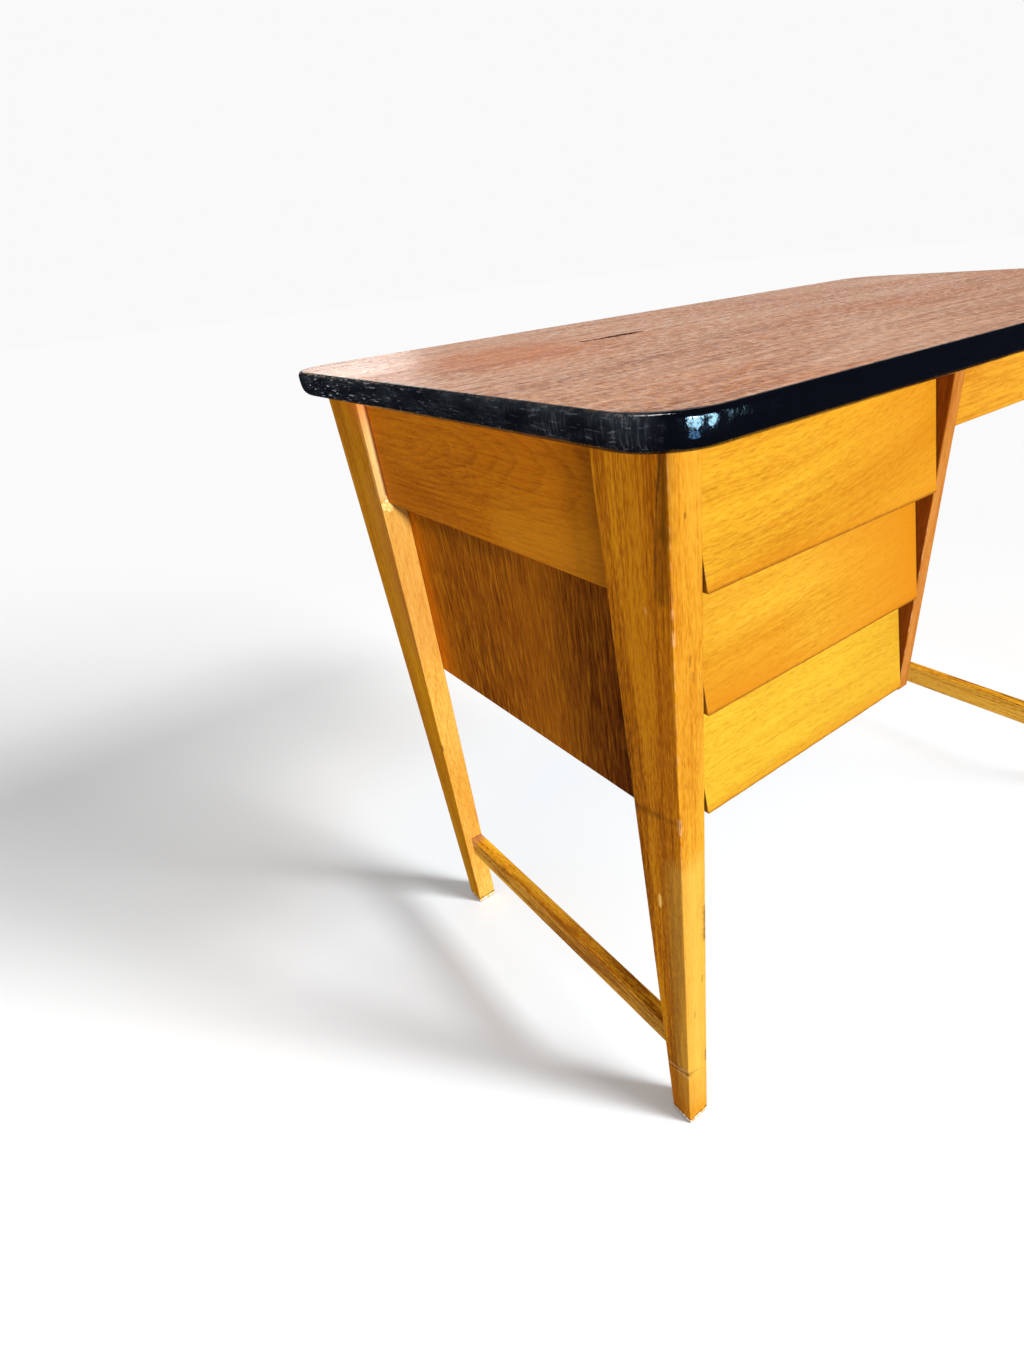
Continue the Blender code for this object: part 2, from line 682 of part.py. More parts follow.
def make_top_fixings(core, top_rails):
    right_apron_face = RIGHT - APRON_SETBACK - APRON_THICKNESS
    reach = leg_width(UNDER_TOP) + BATTEN_END_GAP
    right_batten = box(
        "right_batten",
        (right_apron_face - FIT_GAP - BATTEN_SIZE, FRONT + reach, BATTEN_BOTTOM),
        (right_apron_face - FIT_GAP, REAR - reach, UNDER_TOP),
        PLAIN_BEECH,
    )
    block_end = RIGHT_LEG_FACE - FIT_GAP - CORNER_BLOCK_LEG
    rear_batten = box(
        "rear_batten",
        (WALL_OUTER + BATTEN_END_GAP, REAR_APRON_FACE - FIT_GAP - BATTEN_SIZE, BATTEN_BOTTOM),
        (block_end - BATTEN_END_GAP, REAR_APRON_FACE - FIT_GAP, UNDER_TOP),
        PLAIN_BEECH,
    )
    corner_x = RIGHT_LEG_FACE - FIT_GAP
    front_y = FRONT_RAIL_FACE + FIT_GAP
    rear_y = REAR_APRON_FACE - FIT_GAP
    front_corner = ((corner_x, front_y), (corner_x, front_y + CORNER_BLOCK_LEG), (block_end, front_y))
    rear_corner = ((corner_x, rear_y), (block_end, rear_y), (corner_x, rear_y - CORNER_BLOCK_LEG))
    block_bottom = UNDER_TOP - CORNER_BLOCK_HEIGHT
    plate("front_corner_block", front_corner, block_bottom, UNDER_TOP, PLAIN_BEECH)
    plate("rear_corner_block", rear_corner, block_bottom, UNDER_TOP, PLAIN_BEECH)

    front_rail, rear_rail = top_rails
    holders = (("x", front_rail), ("x", rear_rail), ("y", right_batten), ("x", rear_batten))
    for run, holder in holders:
        half = holder.dimensions / 2
        middle = holder.location
        for end, sign in (("a", -1), ("b", 1)):
            offset = sign * (1 - 2 * SCREW_END_SHARE)
            foot = (
                middle.x + (offset * half.x if run == "x" else 0.0),
                middle.y + (offset * half.y if run == "y" else 0.0),
                middle.z - half.z,
            )
            make_screw(f"{holder.name}_screw_{end}", holder, core, foot)


def make_desk():
    core = make_top()
    wall, top_rails = make_pedestal()
    make_frame(wall)
    for index in range(DRAWER_COUNT):
        bottom = UNDERSIDE - FRONT_TOP_GAP - FRONT_HEIGHT - index * FRONT_PITCH
        make_drawer(index + 1, bottom)
    make_top_fixings(core, top_rails)


make_desk()
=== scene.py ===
"""Looks of the writing desk: worn boards of amber beech, a brown veneered top with a black lacquered
lipping, a dark side panel, and plain wood inside the pedestal.

Metres, +Z up. The front of the desk faces -Y and the drawers are at its left end.
"""

import math

import bmesh
import bpy
from mathutils import Euler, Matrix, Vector, noise


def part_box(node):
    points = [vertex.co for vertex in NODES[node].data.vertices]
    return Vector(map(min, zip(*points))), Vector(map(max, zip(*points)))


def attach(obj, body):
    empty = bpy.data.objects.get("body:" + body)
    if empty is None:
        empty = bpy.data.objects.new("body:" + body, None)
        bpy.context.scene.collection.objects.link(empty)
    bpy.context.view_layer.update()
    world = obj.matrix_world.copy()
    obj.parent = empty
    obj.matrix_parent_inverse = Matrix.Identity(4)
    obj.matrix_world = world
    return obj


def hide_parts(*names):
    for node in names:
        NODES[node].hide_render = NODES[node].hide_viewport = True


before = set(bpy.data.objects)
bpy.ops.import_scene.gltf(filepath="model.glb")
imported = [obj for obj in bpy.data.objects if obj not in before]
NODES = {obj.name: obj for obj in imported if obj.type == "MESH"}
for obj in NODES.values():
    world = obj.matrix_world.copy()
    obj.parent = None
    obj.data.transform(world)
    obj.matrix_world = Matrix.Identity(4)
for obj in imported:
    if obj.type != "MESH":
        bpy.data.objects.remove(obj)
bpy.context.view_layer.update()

# Camera a little above the top, close to the desk's front left corner
CAMERA_PLACE = (-0.7334, -0.5535, 0.8286)
CAMERA_TURN = (53.845, 4.917, -39.531)
CAMERA_LENS = 18.402
CAMERA_SENSOR = 36.0
CAMERA_SHIFT = (-0.0717, 0.0580)
CAMERA_NEAR = 0.01

# Light: lamps in front of the desk and over it, three from the right for the floor and the shadow on it,
# and an even sky. Each lamp has the direction it stands in, its strength and spread, whether it keeps to
# the floor or off it, and whether it casts shadows. PASSED names pieces whose shadow a lamp leaves out.
LAMPS = {
    "front_lamp": ((-0.150, -0.970, 0.23), 5.2, 6.0, "EXCLUDE", True),
    "high_lamp": ((0.10, 0.30, 1.00), 1.35, 20.0, "EXCLUDE", True),
    "floor_lamp": ((0.484, -0.718, 0.500), 1.66, 10.0, "INCLUDE", True),
    "low_floor_lamp": ((0.470, -0.814, 0.342), 3.15, 20.0, "INCLUDE", True),
    "high_floor_lamp": ((0.269, -0.506, 0.819), 0.40, 24.0, "INCLUDE", True),
    "floor_fill": ((0.0, 0.0, 1.0), 0.17, 20.0, "INCLUDE", False),
}
FAR_END = ("front_right_leg_worn", "rear_right_leg_worn", "right_stretcher_worn", "right_apron_worn")
PASSED = {
    "front_lamp": ("top_core", "top_lipping_worn", "top_veneer_worn"),
    "floor_lamp": FAR_END,
    "low_floor_lamp": FAR_END,
}
SKY_STRENGTH = 0.38
SKY_IN_GLOSS = 0.03
SKY_IN_GLOSS_COLOUR = (0.45, 0.62, 1.0)
BACKDROP_COLOUR = (0.947, 0.947, 0.947)
FLOOR_SIZE = 60.0
# The floor is painted paler near FLOOR_BRIGHTEST and darker away from it by FLOOR_SHADES: a painted
# falloff of light that meets the backdrop
FLOOR_BRIGHTEST = (-0.73, -0.55, 0.0)
FLOOR_SHADES = ((0.60, 0.940), (1.20, 0.905), (1.70, 0.878), (2.60, 0.838))
# Near the desk the floor is painted bluish, to offset the orange light that the wood bounces onto it
FLOOR_BOUNCE_OFFSET = (0.885, 0.940, 0.985)
FLOOR_BOUNCE_OFFSET_REACH = (0.85, 0.45)

# Panes that show as gloss on one piece and face a place on it: their own place, size, power and colour
PANE_BLUE = (0.42, 0.77, 1.0)
GROUND_BLUE = (0.20, 0.50, 1.0)
PANE_WHITE = (1.0, 0.97, 0.94)
GLOW_BLUE = (0.16, 0.42, 1.0)
LIPPING_CORNER = (-0.44, -0.27, 0.75)
TOP_LEFT_REAR = (-0.40, 0.14, 0.76)
LIPPING_PANES = {
    "left_pane": ((-0.85, -2.84, 1.10), (0.98, 2.10), 150.0, PANE_BLUE),
    "front_pane": ((0.25, -2.78, 1.10), (0.74, 2.10), 120.0, PANE_BLUE),
    "right_pane": ((1.28, -2.20, 1.20), (0.08, 1.90), 4.5, PANE_BLUE),
    "ground_pane": ((-0.69, -1.85, 0.12), (0.36, 0.24), 2.0, GROUND_BLUE),
    "glow_pane": ((-0.45, -2.95, 1.25), (2.80, 2.80), 10.0, GLOW_BLUE),
}
VENEER_PANES = {
    "rear_pane": ((0.55, 2.95, 1.00), (0.70, 1.20), 6.0, PANE_WHITE),
    "back_pane": ((1.40, 2.80, 1.30), (6.00, 2.40), 16.0, PANE_WHITE),
}

# Sizes that the new pieces share with the solids
SEAM = 0.0003
FOOT_SLICE = 0.002
TOP_CORNER_RADIUS = 0.050
LIPPING_WIDTH = 0.014
LIPPING_TOP_ROUND = 0.004
LIPPING_BOTTOM_ROUND = 0.009
FRONT_TILT = math.radians(11.5)
FRONT_THICKNESS = 0.018
FRONT_LAND = 0.006
FRONT_UNDERCUT = 0.007

# Arrises: their round, and how rubbing and knocks wear them
ARRIS_ANGLE = math.radians(30.0)
ARRIS_STEPS = 4
LEG_ARRIS = 0.0010
RAIL_ARRIS = 0.0012
FRONT_ARRIS = 0.0008
PANEL_ARRIS = 0.0008
INNER_ARRIS = 0.0006
WEAR_DEPTH = 0.0007
WEAR_FINENESS = 62.0
WEAR_FLOOR = 0.12
WEAR_OCTAVES = (1.0, 2.0, 3)
SLICE_LENGTH = 0.0035
INNER_ARRIS_STEPS = 2
FLAT_FACE_WEIGHT = 100

# The top: how finely it is rounded, and the unevenness of the lacquer
TOP_CORNER_STEPS = 20
TOP_RUN_SLICE = 0.006
LACQUER_RIPPLE = 0.00022
LACQUER_RIPPLE_FINENESS = 38.0
LACQUER_RIPPLE_OCTAVES = (1.0, 2.0, 2)
LIPPING_SWELL = 0.0002
LIPPING_SWELL_STEPS = 5
LIPPING_BOTTOM_STEPS = 10
LIPPING_TOP_STEPS = 8
VENEER_ARRIS = 0.00025
VENEER_ARRIS_STEPS = 3

# Colours of the finishes, as light that they give back
HONEY = (0.51, 0.265, 0.0220)
AMBER = (0.443, 0.205, 0.0135)
TOFFEE = (0.33, 0.118, 0.0060)
FLECK = (0.23, 0.070, 0.004)
# Dark end grain, made nearly black to serve also as painted shade in the gaps by the ends
END_GRAIN_AND_SHADE = (0.022, 0.0045, 0.001)
BARE_WOOD = (0.56, 0.30, 0.14)
CHIPPED_WOOD = (0.78, 0.66, 0.50)
# Grime on the legs; in the apron's corner by the front leg this colour is painted shade
GRIME_AND_SHADE = (0.090, 0.028, 0.002)
# A red stain at the apron's rear end; on the rear leg's head this colour is painted shadow of the top
RED_STAIN_AND_SHADE = (0.520, 0.112, 0.012)
GOLD_APRON = (0.660, 0.285, 0.014)
GOLD_SCUFF = (0.950, 0.620, 0.180)
RUDDY = (0.86, 0.70, 0.60)
BROWN_LINE = (0.085, 0.025, 0.005)
RED_FOOT = (0.36, 0.100, 0.006)
DARK_SIDE = (0.130, 0.040, 0.0012)
ORANGE_FOOT = (0.46, 0.190, 0.014)
SCORED_WOOD = (0.60, 0.36, 0.17)
PALE_FRONT = (0.52, 0.345, 0.060)
PINK_WOOD = (0.62, 0.38, 0.170)
SALMON_WOOD = (0.44, 0.190, 0.045)
RED_STUB = (0.66, 0.300, 0.180)
DARK_SEAM = (0.10, 0.018, 0.004)
DARK_EDGE = (0.39, 0.130, 0.006)
ORANGE_PATCH = (0.405, 0.146, 0.0060)
WHITE = (1.0, 1.0, 1.0)

QUARTER = math.pi / 2
GRAIN_TURN = {"x": (0.0, 0.0, 0.0), "y": (0.0, 0.0, -QUARTER), "z": (0.0, QUARTER, 0.0)}
GRAIN_AXIS = {"x": Vector((1, 0, 0)), "y": Vector((0, 1, 0)), "z": Vector((0, 0, 1))}
MARK_FINENESS = 220.0
NOISE_SPREAD = (0.3, 0.7)


def lit(colour):
    """A colour with the full opacity that a node socket holds."""
    return (*colour, 1.0)


def even(number):
    """One number for all three axes, or for all three parts of a colour."""
    return (number,) * 3


class Finish:
    """A node material, with a short call for each kind of node that the finishes use."""

    def __init__(self, name, specular=0.5):
        self.material = bpy.data.materials.new(name)
        self.material.use_nodes = True
        self.tree = self.material.node_tree
        self.shader = self.tree.nodes["Principled BSDF"]
        self.shader.inputs["Specular IOR Level"].default_value = specular
        self.spot = self.node("TexCoord", ()).outputs["Object"]
        self.colour = None

    def feed(self, socket, value):
        if isinstance(value, bpy.types.NodeSocket):
            self.tree.links.new(value, socket)
        else:
            socket.default_value = value

    def node(self, kind, inputs, **settings):
        """A new node, and what its inputs get, in their order or by their names."""
        node = self.tree.nodes.new(f"ShaderNode{kind}")
        for setting, value in settings.items():
            setattr(node, setting, value)
        for key, value in inputs.items() if isinstance(inputs, dict) else enumerate(inputs):
            self.feed(node.inputs[key], value)
        return node

    def maths(self, operation, *values, clamp=False):
        return self.node("Math", values, operation=operation, use_clamp=clamp).outputs[0]

    def times(self, value, share, clamp=False):
        return self.maths("MULTIPLY", value, share, clamp=clamp)

    def scaled(self, value, share, base):
        """value times share, on top of base."""
        return self.maths("MULTIPLY_ADD", value, share, base)

    def vector(self, operation, *values):
        node = self.node("VectorMath", values, operation=operation)
        scalar = operation in ("LENGTH", "DISTANCE", "DOT_PRODUCT")
        return node.outputs["Value" if scalar else "Vector"]

    def stretched(self, arrow, share):
        inputs = {0: arrow, "Scale": share}
        return self.node("VectorMath", inputs, operation="SCALE").outputs[0]

    def axes(self):
        """The X, Y and Z of each place on the piece."""
        return self.node("SeparateXYZ", (self.spot,)).outputs

    def turned(self, spot, axis):
        """Coordinates whose X runs along the grain."""
        inputs = {"Vector": spot, "Rotation": GRAIN_TURN[axis]}
        return self.node("Mapping", inputs).outputs["Vector"]

    def cloud(self, spot, fineness, detail=2.0, roughness=0.5):
        """Noise, with its own fineness along each axis."""
        place = self.vector("MULTIPLY", spot, fineness)
        inputs = {"Vector": place, "Scale": 1.0, "Detail": detail, "Roughness": roughness}
        return self.node("TexNoise", inputs).outputs["Fac"]

    def range(self, value, low, high, out_low=0.0, out_high=1.0):
        inputs = (value, low, high, out_low, out_high)
        return self.node("MapRange", inputs, clamp=True).outputs[0]

    def patches(self, spot, fineness, detail, low, high, roughness=0.5):
        """1 where a noise is over high, falling to 0 where it is under low."""
        return self.range(self.cloud(spot, fineness, detail, roughness), low, high)

    def weighed(self, middle, shares):
        """A value about middle, to which each noise adds its own share."""
        total = middle - sum(share for value, share in shares) / 2
        for value, share in shares:
            total = self.scaled(value, share, total)
        return total

    def bowed(self, middle, rise):
        """Coordinates in which grain that climbs away from a place along X runs straight."""
        away = self.maths("SUBTRACT", self.axes()["X"], middle)
        drop = self.node("CombineXYZ", {"Z": self.times(self.times(away, away), -rise)})
        return self.vector("ADD", self.spot, drop.outputs[0])

    def ramp(self, value, *stops):
        node = self.node("ValToRGB", (value,))
        band = node.color_ramp.elements
        while len(band) < len(stops):
            band.new(1.0)
        for element, (place, colour) in zip(band, stops):
            element.position = place
            element.color = lit(colour)
        return node.outputs["Color"]

    def shades(self, value, *stops):
        """A ramp of greys."""
        return self.ramp(value, *((place, even(shade)) for place, shade in stops))

    def mix(self, share, under, over):
        node = self.node("Mix", (share,), data_type="RGBA")
        colours = [socket for socket in node.inputs if socket.type == "RGBA"]
        for socket, colour in zip(colours, (under, over)):
            self.feed(socket, colour if isinstance(colour, bpy.types.NodeSocket) else lit(colour))
        return next(socket for socket in node.outputs if socket.type == "RGBA")

    def stain(self, share, strength, colour):
        """Lays a colour over what is there, where share is and as strong as given."""
        self.colour = self.mix(self.times(share, strength), self.colour, colour)

    def attribute(self, name):
        return self.node("Attribute", (), attribute_name=name).outputs["Fac"]

    def line(self, start, end, width, waver=0.0):
        """1 along a straight mark between two points, falling to 0 at its width."""
        along = Vector(end) - Vector(start)
        offset = self.vector("SUBTRACT", self.spot, start)
        share = self.vector("DOT_PRODUCT", offset, tuple(along / along.length_squared))
        share = self.times(share, 1.0, clamp=True)
        distance = self.vector("DISTANCE", offset, self.stretched(tuple(along), share))
        if waver:
            distance = self.scaled(self.cloud(self.spot, even(MARK_FINENESS)), waver, distance)
            distance = self.maths("SUBTRACT", distance, waver / 2)
        return self.range(distance, 0.0, width, 1.0, 0.0)

    def bump(self, height, strength, distance):
        inputs = {"Strength": strength, "Distance": distance, "Height": height}
        self.feed(self.shader.inputs["Normal"], self.node("Bump", inputs).outputs["Normal"])

    def finish(self, roughness):
        self.feed(self.shader.inputs["Base Color"], self.colour)
        self.feed(self.shader.inputs["Roughness"], roughness)
        return self.material


VARNISH_SPECULAR = 0.015
VARNISH_TINT = (1.0, 0.72, 0.22)


def varnished(name):
    """A finish with the faint amber gloss of the varnish."""
    look = Finish(name, VARNISH_SPECULAR)
    look.shader.inputs["Specular Tint"].default_value = lit(VARNISH_TINT)
    return look


# Figure of the beech: how fine each kind of mark is along and across the grain
BEECH_WARP = 0.007
BEECH_WARP_FINENESS = (7.0, 26.0, 26.0)
BEECH_STREAKS = (13.0, 430.0, 430.0)
BEECH_DASHES = (130.0, 760.0, 760.0)
BEECH_PATCHES = (2.2, 9.0, 9.0)
BEECH_FLECKS = (120.0, 760.0, 760.0)
BEECH_CLOUDS = (3.2, 17.0, 17.0)
BEECH_CLOUD_SHARE = 0.36
BEECH_BANDS = (1.7, 48.0, 48.0)
BEECH_END_DOTS = 900.0
BEECH_RUBS = 130.0
BEECH_RUBBED_PLACES = 17.0
BEECH_YEAR = ((0.0, 0.35), (0.62, 0.50), (0.90, 0.80), (1.0, 0.35))
BEECH_ROUGHNESS = (0.30, 0.46)
BEECH_STOPS = (0.475, 0.60, 0.75)
FRONT_TONES = (HONEY, AMBER, TOFFEE)
FLANK_TONES = ((0.55, 0.215, 0.0050), (0.368, 0.111, 0.0018), (0.15, 0.038, 0.0008))


def beech(name, grain, heart, tilt, ring, tones=FRONT_TONES, flank=None, rings=0.16, streaks=0.36,
          dashes=0.22, broad=0.0, bands=0.0, bow=None, marks=()):
    """Varnished beech. heart is a point on the middle of its log, which runs along the grain, off by tilt.
    flank gives other tones to the faces at its two ends along X, and bow is a place along X and how fast
    the grain rises away from it. The rest are shares of each kind of figure, bands those of the flanks."""
    look = varnished(f"beech_{name}")
    spot = look.bowed(*bow) if bow else look.spot
    along = look.turned(spot, grain)
    sway = look.maths("SUBTRACT", look.cloud(along, BEECH_WARP_FINENESS, 2.0), 0.5)
    along = look.vector("ADD", along, look.stretched((0.0, BEECH_WARP, BEECH_WARP), sway))

    log = (GRAIN_AXIS[grain] + Vector(tilt)).normalized()
    from_heart = look.vector("SUBTRACT", spot, heart)
    radius = look.vector("LENGTH", look.vector("CROSS_PRODUCT", from_heart, tuple(log)))
    radius = look.scaled(sway, BEECH_WARP * 2, radius)
    year = look.maths("FRACT", look.maths("DIVIDE", radius, ring))

    streak = look.cloud(along, BEECH_STREAKS, 3.0, 0.6)
    band = look.cloud(along, BEECH_BANDS, 3.0)
    figure = (
        (look.shades(year, *BEECH_YEAR), rings),
        (streak, streaks),
        (look.cloud(along, BEECH_CLOUDS, 2.0), BEECH_CLOUD_SHARE),
        (look.cloud(along, BEECH_DASHES, 2.0), dashes),
    )
    tone = look.weighed(BEECH_STOPS[1], figure + ((band, broad),))
    look.colour = look.ramp(tone, *zip(BEECH_STOPS, tones))
    if flank:
        tone = look.weighed(BEECH_STOPS[1], figure + ((band, bands),))
        side = look.ramp(tone, *zip(BEECH_STOPS, flank))
        look.colour = look.mix(look.attribute("flank"), look.colour, side)

    ruddy_tone = [part * share for part, share in zip((flank or tones)[1], RUDDY)]
    look.stain(look.patches(along, BEECH_PATCHES, 3.0, 0.48, 0.66), 0.40, ruddy_tone)
    flecks = look.patches(along, BEECH_FLECKS, 1.0, 0.57, 0.72)
    look.stain(flecks, 0.30, FLECK)
    # End faces darkened nearly black: partly dark end grain, partly painted shade in the gaps beside the
    # drawers' ends
    dots = look.range(look.cloud(look.spot, even(BEECH_END_DOTS), 1.0), 0.40, 0.60, 0.65, 1.0)
    look.stain(look.times(look.attribute("end"), dots), 0.97, END_GRAIN_AND_SHADE)
    rubbed = look.patches(look.spot, even(BEECH_RUBS), 3.0, 0.42, 0.60)
    rubbed = look.times(rubbed, look.patches(look.spot, even(BEECH_RUBBED_PLACES), 2.0, 0.46, 0.60))
    look.stain(look.times(rubbed, look.attribute("arris")), 0.70, BARE_WOOD)
    for start, end, width, waver, strength, stain in marks:
        look.stain(look.line(start, end, width, waver), strength, stain)

    look.bump(look.scaled(flecks, -0.8, streak), 0.22, 0.0004)
    return look.finish(look.range(streak, *NOISE_SPREAD, *BEECH_ROUGHNESS))


# The panel: how pale it is from front to rear, partly its stain and partly painted shade at the front, its
# tones from dark to pale, and its marks, among them a painted glow of bounced light
PANEL_DEPTHS = ((0.06, 0.0), (0.36, 0.47), (0.46, 0.47), (0.68, 0.29), (0.78, 0.31), (0.92, 0.54))
PANEL_TONES = (
    (0.0, (0.050, 0.0090, 0.0007)), (0.14, (0.105, 0.0205, 0.0012)), (0.46, (0.34, 0.093, 0.0030)),
    (0.78, (0.46, 0.136, 0.0036)), (1.0, (0.62, 0.210, 0.0060)),
)
PANEL_PORE = (0.06, 0.013, 0.0008)
PANEL_GLINT = (0.70, 0.290, 0.006)
PANEL_GLINT_REACH = 0.16
PANEL_BOUNCE_GLOW = (0.62, 0.150, 0.0030)
PANEL_BOUNCE_GLOW_WIDTH = 0.060


def stained_panel(name, low, high):
    """The pedestal's side panel: coarse upright streaks under a brown stain, darkest along the front
    partly as painted shade, with a painted glow of light bounced from the rear leg along its rear edge.
    """
    look = varnished(name)
    along = look.turned(look.spot, "z")
    depth = look.axes()["Y"]
    streaks = look.cloud(along, (24.0, 300.0, 300.0), 4.0, 0.75)
    clouds = look.cloud(along, (3.0, 22.0, 22.0), 2.0)
    pores = look.patches(along, (80.0, 620.0, 620.0), 1.0, 0.50, 0.66)
    glints = look.patches(along, (40.0, 420.0, 420.0), 2.0, 0.52, 0.68)
    # Darker towards the front: partly the panel's stain, partly painted shade of the front leg
    rearward = look.shades(look.range(depth, low.y, high.y), *PANEL_DEPTHS)
    tone = look.maths("ADD", rearward, look.weighed(0.0, ((streaks, 1.00), (clouds, 0.30))))
    look.colour = look.ramp(tone, *PANEL_TONES)
    look.stain(pores, 0.30, PANEL_PORE)
    shown = look.range(depth, low.y, low.y + PANEL_GLINT_REACH, 0.02, 0.30)
    look.stain(glints, shown, PANEL_GLINT)
    # Painted light: a warm glow along the rear edge, standing for light bounced from the rear leg
    warm = look.line((low.x, high.y, low.z), (low.x, high.y, high.z), PANEL_BOUNCE_GLOW_WIDTH)
    look.stain(warm, 0.75, PANEL_BOUNCE_GLOW)
    look.bump(look.scaled(pores, -0.9, streaks), 0.30, 0.0005)
    return look.finish(look.range(streaks, *NOISE_SPREAD, 0.36, 0.55))


# The veneer: its tones from pale to dark, its marks and painted glints, the split and the painted rim
VENEER_TONES = ((0.34, (0.76, 0.420, 0.245)), (0.50, (0.56, 0.250, 0.116)), (0.66, (0.31, 0.098, 0.036)))
VENEER_WARM_TONES = ((0.36, (0.74, 0.24, 0.052)), (0.66, (0.48, 0.118, 0.019)))
VENEER_WARM_SPOT = (-0.34, 0.08, 0.760)
VENEER_WARM_REACH = 0.14
VENEER_PORE = (0.23, 0.078, 0.032)
VENEER_RUBBED_AND_SHEEN = (0.72, 0.48, 0.36)
VENEER_PAINTED_GLINT = (0.88, 0.64, 0.50)
VENEER_PAINTED_GLINT_DEPTHS = (-0.24, 0.02)
VENEER_CRACK = (
    (-0.2520, 0.0815, 0.760), (-0.2195, 0.0782, 0.760), (-0.1960, 0.0786, 0.760), (-0.1800, 0.0790, 0.760),
)
VENEER_CRACK_WIDTHS = (0.0050, 0.0100, 0.0065)
VENEER_CRACK_WAVER = 0.0140
VENEER_CRACK_COLOUR = (0.045, 0.012, 0.003)
RIM_PAINT = (0.012, 0.012, 0.014)
RIM_WAVER = 0.0036
RIM_EDGE = (-0.0004, 0.0002)
RIM_END = 0.02


def brown_veneer(name, high):
    """The top's veneer: fine pores along the desk, pale streaks partly rubbed and partly painted sheen,
    pale specks of painted glint, a split and a wavy painted rim.
    """
    look = Finish(name)
    along = look.turned(look.spot, "x")
    depth = look.axes()["Y"]
    streaks = look.cloud(along, (4.0, 95.0, 0.0), 6.0, 0.72)
    mottle = look.cloud(along, (190.0, 130.0, 0.0), 3.0, 0.7)
    clouds = look.cloud(along, (2.2, 9.0, 0.0), 3.0)
    pores = look.patches(along, (40.0, 520.0, 0.0), 2.0, 0.50, 0.68)
    tone = look.weighed(0.53, ((clouds, 0.36), (streaks, 0.80), (mottle, 0.85)))
    look.colour = look.ramp(tone, *VENEER_TONES)
    glow = look.vector("DISTANCE", look.spot, VENEER_WARM_SPOT)
    glow = look.range(glow, VENEER_WARM_REACH, VENEER_WARM_REACH / 4)
    warm = look.patches(look.spot, (3.4, 8.0, 0.0), 2.0, 0.46, 0.62)
    warm = look.maths("MAXIMUM", look.times(warm, 0.40), look.times(glow, 0.85))
    look.colour = look.mix(warm, look.colour, look.ramp(tone, *VENEER_WARM_TONES))
    look.stain(pores, 0.40, VENEER_PORE)
    # Pale streaks along the grain: partly rubbed finish, partly painted sheen
    rubbed = look.patches(along, (7.0, 110.0, 0.0), 4.0, 0.52, 0.66, 0.7)
    faded = look.patches(look.spot, (5.0, 7.0, 0.0), 2.0, 0.42, 0.66)
    look.stain(rubbed, look.scaled(faded, 0.55, 0.15), VENEER_RUBBED_AND_SHEEN)
    # Painted glints: pale specks standing for gloss, more of them towards the rear and fewer on the warm
    # spot
    painted_glints = look.patches(along, (60.0, 280.0, 0.0), 2.0, 0.53, 0.65, 0.6)
    shown = look.range(depth, *VENEER_PAINTED_GLINT_DEPTHS, 0.30, 0.75)
    shown = look.times(shown, look.scaled(glow, -0.60, 1.0))
    look.stain(painted_glints, shown, VENEER_PAINTED_GLINT)
    sparkle = look.cloud(look.spot, (170.0, 120.0, 0.0), 3.0, 0.7)
    gloss = look.range(sparkle, 0.40, 0.62, 0.02, 0.80)
    for start, end, width in zip(VENEER_CRACK, VENEER_CRACK[1:], VENEER_CRACK_WIDTHS):
        split = look.times(look.line(start, end, width, VENEER_CRACK_WAVER), 2.0, clamp=True)
        look.stain(split, 0.92, VENEER_CRACK_COLOUR)
        gloss = look.times(gloss, look.maths("SUBTRACT", 1.0, split))
    look.feed(look.shader.inputs["Specular IOR Level"], gloss)

    reach = high - Vector((TOP_CORNER_RADIUS, TOP_CORNER_RADIUS, 0.0))
    beyond = look.vector("SUBTRACT", look.vector("ABSOLUTE", look.spot), (reach.x, reach.y, 1.0))
    rim = look.vector("LENGTH", look.vector("MAXIMUM", beyond, even(0.0)))
    rim = look.scaled(look.cloud(look.spot, (110.0, 110.0, 0.0), 3.0, 0.6), RIM_WAVER, rim)
    painted = look.range(rim, *(TOP_CORNER_RADIUS + edge for edge in RIM_EDGE))
    before_rear = look.range(depth, reach.y + RIM_END, reach.y - RIM_END)
    look.stain(painted, before_rear, RIM_PAINT)
    relief = look.scaled(mottle, 2.2, look.scaled(pores, -0.8, streaks))
    look.bump(look.scaled(sparkle, 1.2, relief), 0.60, 0.0008)
    rough = look.scaled(streaks, 0.22, look.times(clouds, 0.30))
    return look.finish(look.range(rough, 0.15, 0.40, 0.24, 0.46))


# The lacquer: its colours, one of them a painted sheen, and how far from the lipping's sides each kind of
# wear and the sheen begins and is full
LACQUER_BLACK = (0.0014, 0.0017, 0.0032)
LACQUER_HAZE_AND_SHEEN = (0.020, 0.024, 0.030)
LACQUER_SCUFF = (0.14, 0.16, 0.18)
LACQUER_DOT = (0.56, 0.58, 0.58)
LACQUER_BARED = (0.46, 0.30, 0.19)
LACQUER_LEFT = (0.016, 0.001)
LACQUER_FRONT = (0.20, 0.05)
LACQUER_REAR = (-0.24, -0.06)
LACQUER_CHIPPED = (-0.30, -0.05)
LACQUER_UPPER = (0.004, -0.003)


